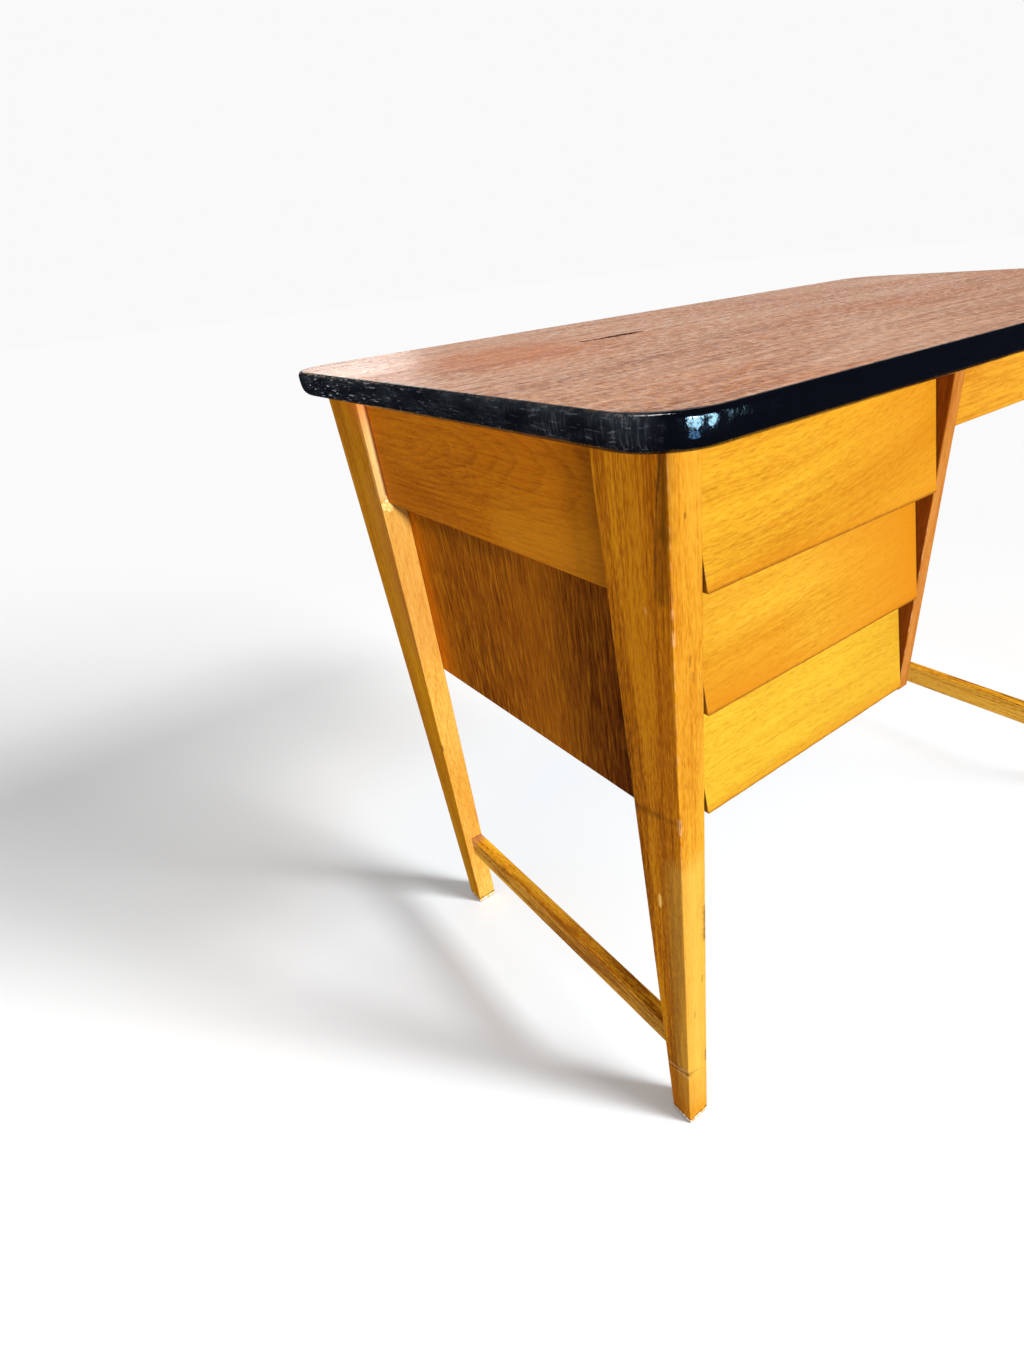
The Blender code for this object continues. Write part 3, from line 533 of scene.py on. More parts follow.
def black_lacquer(name, low, high):
    """The lipping's lacquer: glossy in front, scratched grey along the left end with a painted bluish
    sheen towards its top, chipped on its edges.
    """
    look = Finish(name)
    x, y, z = look.axes()
    left_end = look.range(x, *(low.x + reach for reach in LACQUER_LEFT))
    front_end = look.range(y, *(low.y + reach for reach in LACQUER_FRONT))
    rear_end = look.range(y, *(high.y + reach for reach in LACQUER_REAR))
    chipped = look.range(y, *(high.y + reach for reach in LACQUER_CHIPPED), 0.10, 1.0)
    chipped = look.times(left_end, chipped)
    upper = look.range(z, low.z + LACQUER_UPPER[0], high.z + LACQUER_UPPER[1], 0.25, 1.0)
    zones = look.patches(look.spot, (40.0, 26.0, 90.0), 3.0, 0.38, 0.62, 0.6)
    upright = look.patches(look.spot, (650.0, 650.0, 60.0), 2.0, 0.50, 0.70, 0.6)
    upright = look.times(upright, look.scaled(front_end, 0.50, 0.15))
    level = look.patches(look.spot, (60.0, 60.0, 760.0), 3.0, 0.52, 0.68, 0.6)
    level = look.times(level, look.weighed(0.75, ((rear_end, 0.90), (front_end, -0.55))))
    scuffs = look.times(look.maths("MAXIMUM", upright, level), look.times(zones, left_end))
    # Haze on the left end, rougher and greyer towards the top: worn lacquer with a painted bluish sheen
    haze_and_sheen = look.times(look.scaled(zones, 0.70, 0.30), look.times(left_end, upper))
    look.colour = LACQUER_BLACK
    look.stain(haze_and_sheen, 0.60, LACQUER_HAZE_AND_SHEEN)
    look.stain(scuffs, 0.50, LACQUER_SCUFF)
    dots = look.patches(look.spot, (360.0, 70.0, 620.0), 2.0, 0.62, 0.70)
    look.stain(look.times(dots, chipped), 0.9, LACQUER_DOT)
    ragged = look.cloud(look.spot, even(240.0), 3.0, 0.65)
    bared = look.range(look.scaled(look.attribute("arris"), 0.42, ragged), 0.90, 0.98)
    look.stain(bared, chipped, LACQUER_BARED)
    ripple = look.cloud(look.spot, (85.0, 85.0, 110.0), 1.0)
    grit = look.cloud(look.spot, (380.0, 380.0, 300.0), 2.0, 0.6)
    look.bump(look.scaled(scuffs, 0.25, look.scaled(grit, 0.45, ripple)), 0.17, 0.0016)
    dull = look.patches(look.spot, even(430.0), 2.0, 0.48, 0.62, 0.65)
    look.feed(look.shader.inputs["Specular IOR Level"], look.scaled(dull, -0.40, 0.46))
    return look.finish(look.scaled(haze_and_sheen, 0.36, 0.10))


# The plain finishes: tones from pale to dark, pores, and what plated screws and yellowed glue are like
PLAIN_TONES = ((0.36, (0.64, 0.43, 0.24)), (0.55, (0.54, 0.34, 0.17)), (0.74, (0.42, 0.24, 0.11)))
PLAIN_FLECK = (0.28, 0.15, 0.07)
PLY_TONES = ((0.34, (0.60, 0.40, 0.22)), (0.52, (0.52, 0.325, 0.165)), (0.72, (0.40, 0.23, 0.11)))
PLY_PORE = (0.24, 0.13, 0.06)
PLY_FIGURE = ((0.0, 0.3), (0.8, 0.6), (0.95, 1.0), (1.0, 0.3))
PLY_FIGURE_RINGS = 9.0
ZINC_TONES = ((0.35, (0.62, 0.62, 0.60)), (0.65, (0.34, 0.33, 0.30)))
ZINC = (0.5, 1.0, 620.0, ZINC_TONES, (0.15, 0.0002), (0.28, 0.52))
GLUE_TONES = ((0.35, (0.72, 0.50, 0.17)), (0.65, (0.50, 0.30, 0.07)))
GLUE = (0.4, 0.0, 420.0, GLUE_TONES, (0.4, 0.0005), (0.30, 0.50))


def plain_beech(name, grain):
    """Bare planed wood inside the desk."""
    look = Finish(name, 0.25)
    along = look.turned(look.spot, grain)
    streaks = look.cloud(along, (9.0, 260.0, 260.0), 4.0, 0.62)
    flecks = look.patches(along, (170.0, 950.0, 950.0), 1.0, 0.58, 0.74)
    clouds = look.cloud(along, (3.0, 17.0, 17.0), 2.0)
    tone = look.scaled(clouds, 0.45, look.times(streaks, 0.60))
    look.colour = look.ramp(tone, *PLAIN_TONES)
    look.stain(flecks, 0.4, PLAIN_FLECK)
    look.bump(look.scaled(flecks, -0.6, streaks), 0.25, 0.0004)
    return look.finish(look.range(streaks, *NOISE_SPREAD, 0.50, 0.68))


def plywood(name, grain):
    """Bare plywood, with broad rolling figure and fine dark pores."""
    look = Finish(name, 0.2)
    along = look.turned(look.spot, grain)
    sway = look.cloud(along, (2.5, 9.0, 9.0), 3.0)
    figure = look.shades(look.maths("FRACT", look.times(sway, PLY_FIGURE_RINGS)), *PLY_FIGURE)
    streaks = look.cloud(along, (8.0, 240.0, 240.0), 4.0, 0.6)
    pores = look.patches(along, (70.0, 1000.0, 1000.0), 1.0, 0.57, 0.72)
    tone = look.scaled(figure, 0.30, look.times(streaks, 0.65))
    look.colour = look.ramp(tone, *PLY_TONES)
    look.stain(pores, 0.5, PLY_PORE)
    look.bump(look.scaled(pores, -0.7, streaks), 0.25, 0.0004)
    return look.finish(look.range(streaks, *NOISE_SPREAD, 0.58, 0.74))


def mottled(name, specular, metallic, fineness, tones, bump, roughness):
    """A smooth finish, uneven in patches."""
    look = Finish(name, specular)
    look.shader.inputs["Metallic"].default_value = metallic
    patches = look.cloud(look.spot, even(fineness), 3.0, 0.6)
    look.colour = look.ramp(patches, *tones)
    look.bump(patches, *bump)
    return look.finish(look.range(patches, *NOISE_SPREAD, *roughness))


def placed(name, data):
    """A new object in the scene."""
    holder = bpy.data.objects.new(name, data)
    bpy.context.scene.collection.objects.link(holder)
    return holder


def placed_form(name, form, finish):
    mesh = bpy.data.meshes.new(name)
    form.to_mesh(mesh)
    form.free()
    mesh.materials.append(finish)
    return placed(name, mesh)


def put(name, form, finish, body, slot, *nodes):
    """Makes a finished piece of a bmesh: it rides on a body and stands for the solids it is named with."""
    bmesh.ops.recalc_face_normals(form, faces=form.faces)
    piece = placed_form(name, form, finish)
    piece.data.shade_smooth()
    flat = piece.modifiers.new("flat_faces", "WEIGHTED_NORMAL")
    flat.mode = "FACE_AREA"
    flat.weight = FLAT_FACE_WEIGHT
    flat.keep_sharp = True
    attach(piece, body)
    if nodes:
        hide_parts(*nodes)


def put_beech(node, form, finish, body="frame"):
    """A board of varnished beech in the place of its solid."""
    put(f"{node}_worn", form, finish, body, "varnished_beech", node)


def pick(side, low, high):
    return high if side > 0 else low


def board(low, high, depth):
    """A block whose sides lie, along Y, where depth puts them: it gets the side, -1 or 1, and a height."""
    form = bmesh.new()
    bmesh.ops.create_cube(form, size=2.0)
    for corner in form.verts:
        x, y, z = (round(side) for side in corner.co)
        height = pick(z, low.z, high.z)
        corner.co = (pick(x, low.x, high.x), depth(y, height), height)
    form.normal_update()
    return form


def box_block(low, high):
    return board(low, high, lambda y, height: pick(y, low.y, high.y))


def sharp_edges(form):
    return [edge for edge in form.edges if edge.calc_face_angle(0.0) > ARRIS_ANGLE]


def round_edges(form, edges, radius, steps):
    bmesh.ops.bevel(
        form, geom=edges, offset=radius, offset_type="OFFSET", segments=steps, profile=0.5,
        affect="EDGES", clamp_overlap=True, material=-1,
    )


def worn(form, run, radius, chips=()):
    """Rounds a block's arrises, then rubs and knocks them. run is the axis along its length. The finishes
    read three values from its corners: how far each is on an arris, a cut end, and a flank along X."""
    flats = [face.normal.copy() for face in form.faces]
    long_edges = []
    for edge in form.edges:
        course = (edge.verts[1].co - edge.verts[0].co).normalized()
        if abs(course[run]) > math.cos(ARRIS_ANGLE):
            long_edges.append(edge)
    length = max(edge.calc_length() for edge in long_edges)
    cuts = int(length / SLICE_LENGTH)
    bmesh.ops.subdivide_edges(form, edges=long_edges, cuts=cuts, use_grid_fill=True)
    round_edges(form, sharp_edges(form), radius, ARRIS_STEPS)
    form.normal_update()
    arris = form.verts.layers.float.new("arris")
    end = form.verts.layers.float.new("end")
    flank = form.verts.layers.float.new("flank")
    middle = 1 - math.cos(math.pi / 4)
    for vert in form.verts:
        off_flat = 1 - max(vert.normal.dot(flat) for flat in flats)
        vert[arris] = min(1.0, off_flat / middle)
        vert[end] = max(0.0, 1 - (1 - abs(vert.normal[run])) / middle)
        vert[flank] = abs(vert.normal.x) ** 2
    for vert in form.verts:
        rub = noise.fractal(vert.co * WEAR_FINENESS, *WEAR_OCTAVES)
        depth = WEAR_DEPTH * max(0.0, rub - WEAR_FLOOR) * vert[arris]
        for place, reach, bite in chips:
            near = 1 - (vert.co - Vector(place)).length / reach
            depth += bite * max(0.0, near) * vert[arris]
        vert.co -= vert.normal * depth
    return form


class Leg:
    """A leg's lines, read from its solid."""

    def __init__(self, node):
        self.low, self.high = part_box(node)
        at_front = self.low.y < 0
        corners = [vertex.co for vertex in NODES[node].data.vertices]
        foot = [corner.y for corner in corners if corner.z < self.low.z + FOOT_SLICE]
        self.outer = self.low.y if at_front else self.high.y
        self.head = self.high.y if at_front else self.low.y
        self.toe = max(foot) if at_front else min(foot)

    def inner(self, height):
        share = (height - self.low.z) / (self.high.z - self.low.z)
        return self.toe + (self.head - self.toe) * share

    def on_inner(self, x, height):
        """A place on the inner face."""
        return (x, self.inner(height), height)

    def form(self):
        outward = 1 if self.outer > 0 else -1
        return board(
            self.low, self.high,
            lambda y, height: self.outer if y == outward else self.inner(height),
        )


LEG_NODES = ("front_left_leg", "rear_left_leg", "front_right_leg", "rear_right_leg")
LEGS = {name: Leg(name) for name in LEG_NODES}
WALL_LOW, WALL_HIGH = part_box("pedestal_right_wall")
LEFT = LEGS["front_left_leg"].low.x
FRONT = LEGS["front_left_leg"].low.y


def on_side(*marks):
    """Marks on the front left leg's left side, whose ends are given by Y and Z."""
    return tuple(((LEFT, y, z), (LEFT, to_y, to_z), *kind) for y, z, to_y, to_z, *kind in marks)


def on_front(*marks):
    """Marks on its front, whose ends are given by X and Z."""
    return tuple(((x, FRONT, z), (to_x, FRONT, to_z), *kind) for x, z, to_x, to_z, *kind in marks)


# Marks: start, end, width, waver, strength and colour
FRONT_LEG_MARKS = on_side(
    (-0.2500, 0.739, -0.2475, 0.690, 0.0075, 0.0020, 0.90, DARK_SIDE),
    (-0.2475, 0.690, -0.2440, 0.650, 0.0085, 0.0030, 0.60, DARK_SIDE),
    (-0.2474, 0.739, -0.2455, 0.7246, 0.0015, 0.0012, 0.95, BROWN_LINE),
    (-0.2455, 0.7246, -0.2428, 0.7103, 0.0015, 0.0012, 0.95, BROWN_LINE),
    (-0.2428, 0.7103, -0.2390, 0.6737, 0.0013, 0.0014, 0.60, BROWN_LINE),
    (-0.2390, 0.6737, -0.2383, 0.6480, 0.0012, 0.0014, 0.45, BROWN_LINE),
    (-0.2000, 0.4545, -0.2260, 0.4590, 0.0060, 0.0030, 0.45, GRIME_AND_SHADE),
    (-0.2260, 0.4590, -0.2530, 0.4640, 0.0045, 0.0030, 0.40, GRIME_AND_SHADE),
    (FRONT, 0.4550, FRONT, 0.4680, 0.0030, 0.0026, 0.75, BARE_WOOD),
    (FRONT, 0.6390, FRONT, 0.6430, 0.0022, 0.0022, 0.65, BARE_WOOD),
    (FRONT, 0.6200, FRONT, 0.6280, 0.0024, 0.0026, 0.65, BARE_WOOD),
) + on_front(
    (-0.4412, 0.0500, -0.4412, 0.4000, 0.0300, 0.0060, 0.60, PALE_FRONT),
) + on_side(
    (-0.2276, 0.6360, -0.2262, 0.6385, 0.0016, 0.0016, 0.60, BARE_WOOD),
    (-0.2233, 0.3500, -0.2236, 0.3630, 0.0030, 0.0026, 0.80, GOLD_SCUFF),
    (-0.2370, 0.0000, -0.2400, 0.0600, 0.0400, 0.0040, 0.40, RED_FOOT),
) + on_front(
    (-0.4412, 0.0000, -0.4412, 0.0600, 0.0500, 0.0060, 0.18, ORANGE_FOOT),
) + on_side(
    (-0.2150, 0.1060, -0.2530, 0.1030, 0.0090, 0.0060, 0.35, BROWN_LINE),
    (-0.2190, 0.0925, -0.2400, 0.1000, 0.0022, 0.0048, 0.50, SCORED_WOOD),
    (-0.2400, 0.1000, -0.2530, 0.1120, 0.0022, 0.0048, 0.45, SCORED_WOOD),
    (-0.2200, 0.0880, -0.2530, 0.1045, 0.0022, 0.0050, 0.70, BROWN_LINE),
    (-0.2350, 0.0920, -0.2530, 0.0985, 0.0022, 0.0050, 0.45, SCORED_WOOD),
    (-0.2380, 0.1080, -0.2500, 0.0960, 0.0018, 0.0040, 0.45, SCORED_WOOD),
) + on_front(
    (LEFT, 0.1060, -0.4380, 0.1000, 0.0020, 0.0040, 0.30, BROWN_LINE),
    (-0.4422, 0.6990, -0.4422, 0.7005, 0.0017, 0.0010, 0.75, BROWN_LINE),
    (-0.4406, 0.5990, -0.4400, 0.6060, 0.0018, 0.0014, 0.55, BROWN_LINE),
    (-0.4380, 0.5860, -0.4378, 0.5920, 0.0016, 0.0014, 0.50, BROWN_LINE),
    (-0.4285, 0.3100, -0.4280, 0.3520, 0.0040, 0.0050, 0.75, BROWN_LINE),
    (-0.4280, 0.1080, -0.4280, 0.1250, 0.0036, 0.0044, 0.75, BROWN_LINE),
    (-0.4330, 0.2500, -0.4322, 0.2580, 0.0016, 0.0016, 0.50, BROWN_LINE),
    (-0.4440, 0.2000, -0.4436, 0.2070, 0.0016, 0.0016, 0.45, BROWN_LINE),
)
DRAWER_MARKS = {
    1: (
        ((-0.4240, -0.2530, 0.6660), (-0.4124, -0.2532, 0.6645), 0.0012, 0.0014, 0.60, BROWN_LINE),
        ((-0.2765, -0.2532, 0.6640), (-0.2740, -0.2532, 0.6650), 0.0016, 0.0012, 0.80, BROWN_LINE),
        ((-0.2590, -0.2509, 0.6750), (-0.2570, -0.2509, 0.6760), 0.0013, 0.0012, 0.60, BROWN_LINE),
    ),
    2: (((-0.4200, -0.2540, 0.5620), (-0.3500, -0.2540, 0.5620), 0.0500, 0.0140, 0.60, ORANGE_PATCH),),
    3: (((-0.3660, -0.2445, 0.5200), (-0.3610, -0.2445, 0.5220), 0.0013, 0.0010, 0.80, BROWN_LINE),),
}
# Rims of the feet: height over the floor, width, waver, strength and colour
FOOT_RIMS = (
    (0.0080, 0.0026, 0.0060, 0.85, BROWN_LINE),
    (0.0036, 0.0028, 0.0170, 1.10, CHIPPED_WOOD),
    (0.0000, 0.0028, 0.0030, 0.90, BROWN_LINE),
)
# Chips: place, reach and bite
FRONT_LEG_CHIPS = (
    ((LEFT, FRONT, 0.654), 0.007, 0.0016),
    ((LEFT, FRONT, 0.633), 0.011, 0.0018),
    ((LEFT, FRONT, 0.465), 0.013, 0.0024),
    ((LEFT, FRONT, 0.105), 0.008, 0.0016),
    ((LEFT, FRONT, 0.000), 0.010, 0.0022),
)

# The leg's face beside the apron, and the run of its grain
REVEAL_MIDDLE = 0.005
LEG_TILT = (0.035, 0.022, 0.0)
LEG_RING = 0.0075


def rear_leg_marks(leg):
    """Pale wood on the upper part of the rear leg's inner face, a red band of painted shadow under the
    top, a dark seam by the apron and a knock.
    """
    left = leg.low.x
    reveal = left + REVEAL_MIDDLE
    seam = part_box("left_apron")[0].x
    middle = (left + leg.high.x) / 2
    at = leg.on_inner
    return (
        (at(middle, 0.630), at(middle, 0.480), 0.0500, 0.0100, 0.36, SALMON_WOOD),
        (at(reveal, 0.739), at(reveal, 0.645), 0.0090, 0.0040, 0.75, PINK_WOOD),
        # Painted shadow: the head of the leg darkened where the top shades it
        (at(left, 0.739), at(middle, 0.739), 0.0400, 0.0100, 0.75, RED_STAIN_AND_SHADE),
        (at(seam, 0.739), at(seam, 0.645), 0.0026, 0.0008, 0.85, DARK_SEAM),
        (at(left, 0.310), at(left, 0.317), 0.0026, 0.0020, 0.80, BROWN_LINE),
    )


def foot_marks(leg):
    """Chipped edges round the foot, between a dark line above them and a dark line at the floor."""
    left, right = leg.low.x, leg.high.x
    outline = ((left, leg.outer), (right, leg.outer), (right, leg.toe), (left, leg.toe))
    marks = []
    for height, *kind in FOOT_RIMS:
        corners = [(x, y, leg.low.z + height) for x, y in outline]
        for start, end in zip(corners, corners[1:] + corners[:1]):
            marks.append((start, end, *kind))
    return tuple(marks)


def make_legs():
    hearts = {
        "front_left_leg": (-0.430, -0.205, 0.30),
        "rear_left_leg": (-0.415, 0.270, 0.45),
        "front_right_leg": (0.425, -0.180, 0.40),
        "rear_right_leg": (0.470, 0.190, 0.20),
    }
    pale = ((0.56, 0.345, 0.075), (0.50, 0.280, 0.050), (0.40, 0.185, 0.026))
    golden = ((0.53, 0.230, 0.0046), (0.445, 0.167, 0.0028), (0.30, 0.094, 0.0014))
    looks = {"front": (FRONT_TONES, FLANK_TONES, 0.55), "rear": (pale, golden, 0.40)}
    own_marks = {
        "front_left_leg": FRONT_LEG_MARKS,
        "rear_left_leg": rear_leg_marks(LEGS["rear_left_leg"]),
    }
    for node, leg in LEGS.items():
        front, flank, bands = looks[node.split("_")[0]]
        finish = beech(
            node, "z", hearts[node], LEG_TILT, LEG_RING, front, flank,
            streaks=0.42, dashes=0.42, bands=bands, marks=own_marks.get(node, ()) + foot_marks(leg),
        )
        chips = FRONT_LEG_CHIPS if node == "front_left_leg" else ()
        put_beech(node, worn(leg.form(), 2, LEG_ARRIS, chips), finish)


# Rails: the slant of a stain, their tones and the run of their grain
STUB_SLANT = 0.004
APRON_TONES = ((0.54, 0.180, 0.0032), (0.45, 0.135, 0.0020), (0.27, 0.066, 0.0010))
# The stretcher's tones are as pale as wood can be: painted light on a top that the lamps leave in shade
STRETCHER_TONES = ((1.00, 0.540, 0.0300), (0.88, 0.390, 0.0180), (0.30, 0.082, 0.0040))
STRETCHER_SIDES = ((0.74, 0.395, 0.0500), (0.64, 0.300, 0.0320), (0.24, 0.076, 0.0080))
CROSS_RAIL_HEART = (0.1, 0.03)
CROSS_RAIL_TILT = (0.0, 0.06, 0.02)
CROSS_RAIL_RING = 0.0085


def side_rail(node, front_leg, rear_leg):
    form = board(
        *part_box(node),
        lambda y, height: pick(y, front_leg.inner(height) + SEAM, rear_leg.inner(height) - SEAM),
    )
    return worn(form, 1, RAIL_ARRIS)


def rail_marks():
    """Painted shade at the left apron's front end beside the leg, a red stain and a dark line at its rear
    end, a golden place along its lower edge, and a red stain where the left stretcher meets the rear leg."""
    ends = LEGS["front_left_leg"], LEGS["rear_left_leg"]
    low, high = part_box("left_apron")
    front, rear = ([leg.on_inner(low.x, height) for height in (low.z, high.z)] for leg in ends)
    start, end = (low.x, -0.150, 0.652), (low.x, -0.060, 0.648)
    apron = (
        # Painted shade: the apron darkened in the corner beside the front leg
        (*front, 0.0300, 0.0060, 0.60, GRIME_AND_SHADE),
        (*rear, 0.0130, 0.0050, 0.55, RED_STAIN_AND_SHADE),
        (*rear, 0.0056, 0.0016, 0.90, GRIME_AND_SHADE),
        (start, end, 0.0450, 0.0160, 0.28, GOLD_APRON),
    )
    low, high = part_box("left_stretcher")
    stub = ends[1].inner(high.z)
    start, end = (low.x, stub, high.z), (high.x, stub - STUB_SLANT, high.z)
    stretcher = ((start, end, 0.0170, 0.0140, 0.80, RED_STUB),)
    return {"left_apron": apron, "left_stretcher": stretcher}


def make_side_rails():
    shares = {
        "apron": {"tones": APRON_TONES, "rings": 0.15, "streaks": 0.30, "dashes": 0.24},
        "stretcher": {
            "tones": STRETCHER_TONES, "flank": STRETCHER_SIDES,
            "rings": 0.26, "streaks": 0.60, "dashes": 0.42, "broad": 0.60, "bands": 0.50,
        },
    }
    marks = rail_marks()
    hearts = {
        "left_apron": ((-0.449, 0.15, 0.705), (0.14, 0.0, 0.0), 0.0052),
        "right_apron": ((0.449, 0.16, 0.695), (-0.12, 0.0, 0.0), 0.0052),
        "left_stretcher": ((-0.435, 0.0, 0.090), (0.05, 0.0, 0.04), 0.0070),
        "right_stretcher": ((0.420, 0.0, 0.140), (0.03, 0.0, 0.05), 0.0070),
    }
    for node, (heart, tilt, ring) in hearts.items():
        end, kind = node.split("_")
        form = side_rail(node, LEGS[f"front_{end}_leg"], LEGS[f"rear_{end}_leg"])
        finish = beech(node, "y", heart, tilt, ring, marks=marks.get(node, ()), **shares[kind])
        put_beech(node, form, finish)


def make_cross_rails():
    spans = {"rear_apron": LEGS["rear_left_leg"].high.x, "front_rail": WALL_HIGH.x}
    for node, start in spans.items():
        low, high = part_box(node)
        low.x = start + SEAM
        high.x = LEGS["front_right_leg"].low.x - SEAM
        heart = (CROSS_RAIL_HEART[0], low.y + CROSS_RAIL_HEART[1], (low.z + high.z) / 2)
        finish = beech(node, "x", heart, CROSS_RAIL_TILT, CROSS_RAIL_RING)
        put_beech(node, worn(box_block(low, high), 0, RAIL_ARRIS), finish)


def make_pedestal_sides():
    low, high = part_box("pedestal_left_panel")
    form = worn(box_block(low, high), 2, PANEL_ARRIS)
    finish = stained_panel("stained_panel_worn", low, high)
    put("pedestal_left_panel_worn", form, finish, "frame", "stained_panel", "pedestal_left_panel")
    form = worn(box_block(WALL_LOW, WALL_HIGH), 2, RAIL_ARRIS)
    tones = ((0.38, 0.150, 0.0280), (0.30, 0.102, 0.0150), (0.19, 0.052, 0.0060))
    # Dark flank tones: painted shade on the wall's faces along X, where the drawers shade its inner face
    flank = ((0.20, 0.048, 0.0035), (0.15, 0.033, 0.0025), (0.09, 0.019, 0.0015))
    finish = beech("pedestal_wall", "z", (-0.10, -0.10, 0.6), (0.05, 0.06, 0.0), 0.0090, tones, flank)
    put_beech("pedestal_right_wall", form, finish)


def drawer_front(node):
    """A leaning board, undercut behind a level land along its lower edge."""
    low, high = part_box(node)
    lean = math.tan(FRONT_TILT)
    run = FRONT_THICKNESS / math.cos(FRONT_TILT)
    form = board(low, high, lambda y, height: low.y + (height - low.z) * lean + pick(y, 0.0, run))
    heel = Vector((low.x, low.y + FRONT_LAND, low.z))
    slope = Vector((0.0, run + FRONT_UNDERCUT * lean - FRONT_LAND, FRONT_UNDERCUT))
    whole = list(form.verts) + list(form.edges) + list(form.faces)
    below = Vector((1, 0, 0)).cross(slope)
    cut = bmesh.ops.bisect_plane(form, geom=whole, plane_co=heel, plane_no=-below, clear_outer=True)
    rim = [piece for piece in cut["geom_cut"] if isinstance(piece, bmesh.types.BMEdge)]
    bmesh.ops.contextual_create(form, geom=rim)
    bmesh.ops.recalc_face_normals(form, faces=form.faces)
    form.normal_update()
    return worn(form, 0, FRONT_ARRIS)


def front_marks(low, high, orange):
    """An orange right end, and along a drawer's lower edge a darker band and a brown line on the arris,
    partly dirt and partly painted shade.
    """
    start = Vector((low.x, low.y, low.z))
    end = Vector((high.x, low.y, low.z))
    corner = Vector((high.x, high.y, high.z))
    return (
        (end, corner, 0.1500, 0.0300, orange, ORANGE_PATCH),
        # Partly dirt, partly painted shade: the lower edge darkened where the gap under it is in shade
        (start, end, 0.0130, 0.0060, 0.60, DARK_EDGE),
        (start, end, 0.0028, 0.0014, 0.80, BROWN_LINE),
    )


def make_drawer_fronts():
    orange = ((0.52, 0.284, 0.0200), (0.45, 0.224, 0.0130), (0.345, 0.134, 0.0060))
    deep = ((0.50, 0.268, 0.0210), (0.43, 0.208, 0.0130), (0.33, 0.126, 0.0060))
    yellow = ((0.52, 0.340, 0.0270), (0.47, 0.285, 0.0195), (0.38, 0.190, 0.0100))
    figures = {
        1: ((-0.30, -0.235, 0.760), (0.0, 0.10, 0.16), 0.0060, orange, (-0.43, 0.40), 0.55),
        2: ((-0.30, -0.200, 0.640), (0.0, 0.07, 0.10), 0.0065, deep, (-0.43, 0.22), 1.0),
        3: ((-0.35, -0.190, 0.440), (0.0, 0.05, -0.04), 0.0080, yellow, None, 0.12),
    }
    for number, (heart, tilt, ring, tones, bow, reddening) in figures.items():
        node = f"drawer_{number}_front"
        marks = DRAWER_MARKS[number] + front_marks(*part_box(node), reddening)
        finish = beech(
            node, "x", heart, tilt, ring, tones,
            rings=0.07, streaks=0.26, dashes=0.26, broad=0.34, bow=bow, marks=marks,
        )
        put_beech(node, drawer_front(node), finish, f"drawer_{number}")


def swept(form, section, centre, angle, step, steps, axis=(0, 0, 1)):
    """Carries a section round an axis, or along by steps, and returns what the last step made."""
    made = bmesh.ops.spin(
        form, geom=section, cent=centre, axis=axis, dvec=step, angle=angle, steps=steps,
        use_merge=False, use_normal_flip=False, use_duplicate=False,
    )
    return made["geom_last"]


def quarter_round(form, start, middle, steps):
    """Carries a vertex a quarter round a place in the X-Z plane, and returns the last one made."""
    return swept(form, [start], middle, QUARTER, (0, 0, 0), steps, axis=(0, -1, 0))[-1]


def lipping_section(form, outer, low, high, ledge):
    """The lipping's section, standing across X at the end of the first straight run."""
    x, y = outer
    start = form.verts.new((x - LIPPING_BOTTOM_ROUND, y, low))
    middle = Vector((x - LIPPING_BOTTOM_ROUND, y, low + LIPPING_BOTTOM_ROUND))
    last = quarter_round(form, start, middle, LIPPING_BOTTOM_STEPS)
    foot = last.co.z
    rise = high - LIPPING_TOP_ROUND - foot
    for step in range(1, LIPPING_SWELL_STEPS + 1):
        share = step / LIPPING_SWELL_STEPS
        swell = LIPPING_SWELL * 4 * share * (1 - share)
        shoulder = form.verts.new((x + swell, y, foot + rise * share))
        form.edges.new((last, shoulder))
        last = shoulder
    middle = Vector((x - LIPPING_TOP_ROUND, y, high - LIPPING_TOP_ROUND))
    last = quarter_round(form, last, middle, LIPPING_TOP_STEPS)
    inner = x - LIPPING_WIDTH
    for spot in ((x - LIPPING_TOP_ROUND, y, ledge), (inner, y, ledge), (inner, y, low)):
        corner = form.verts.new(spot)
        form.edges.new((last, corner))
        last = corner
    form.edges.new((last, start))


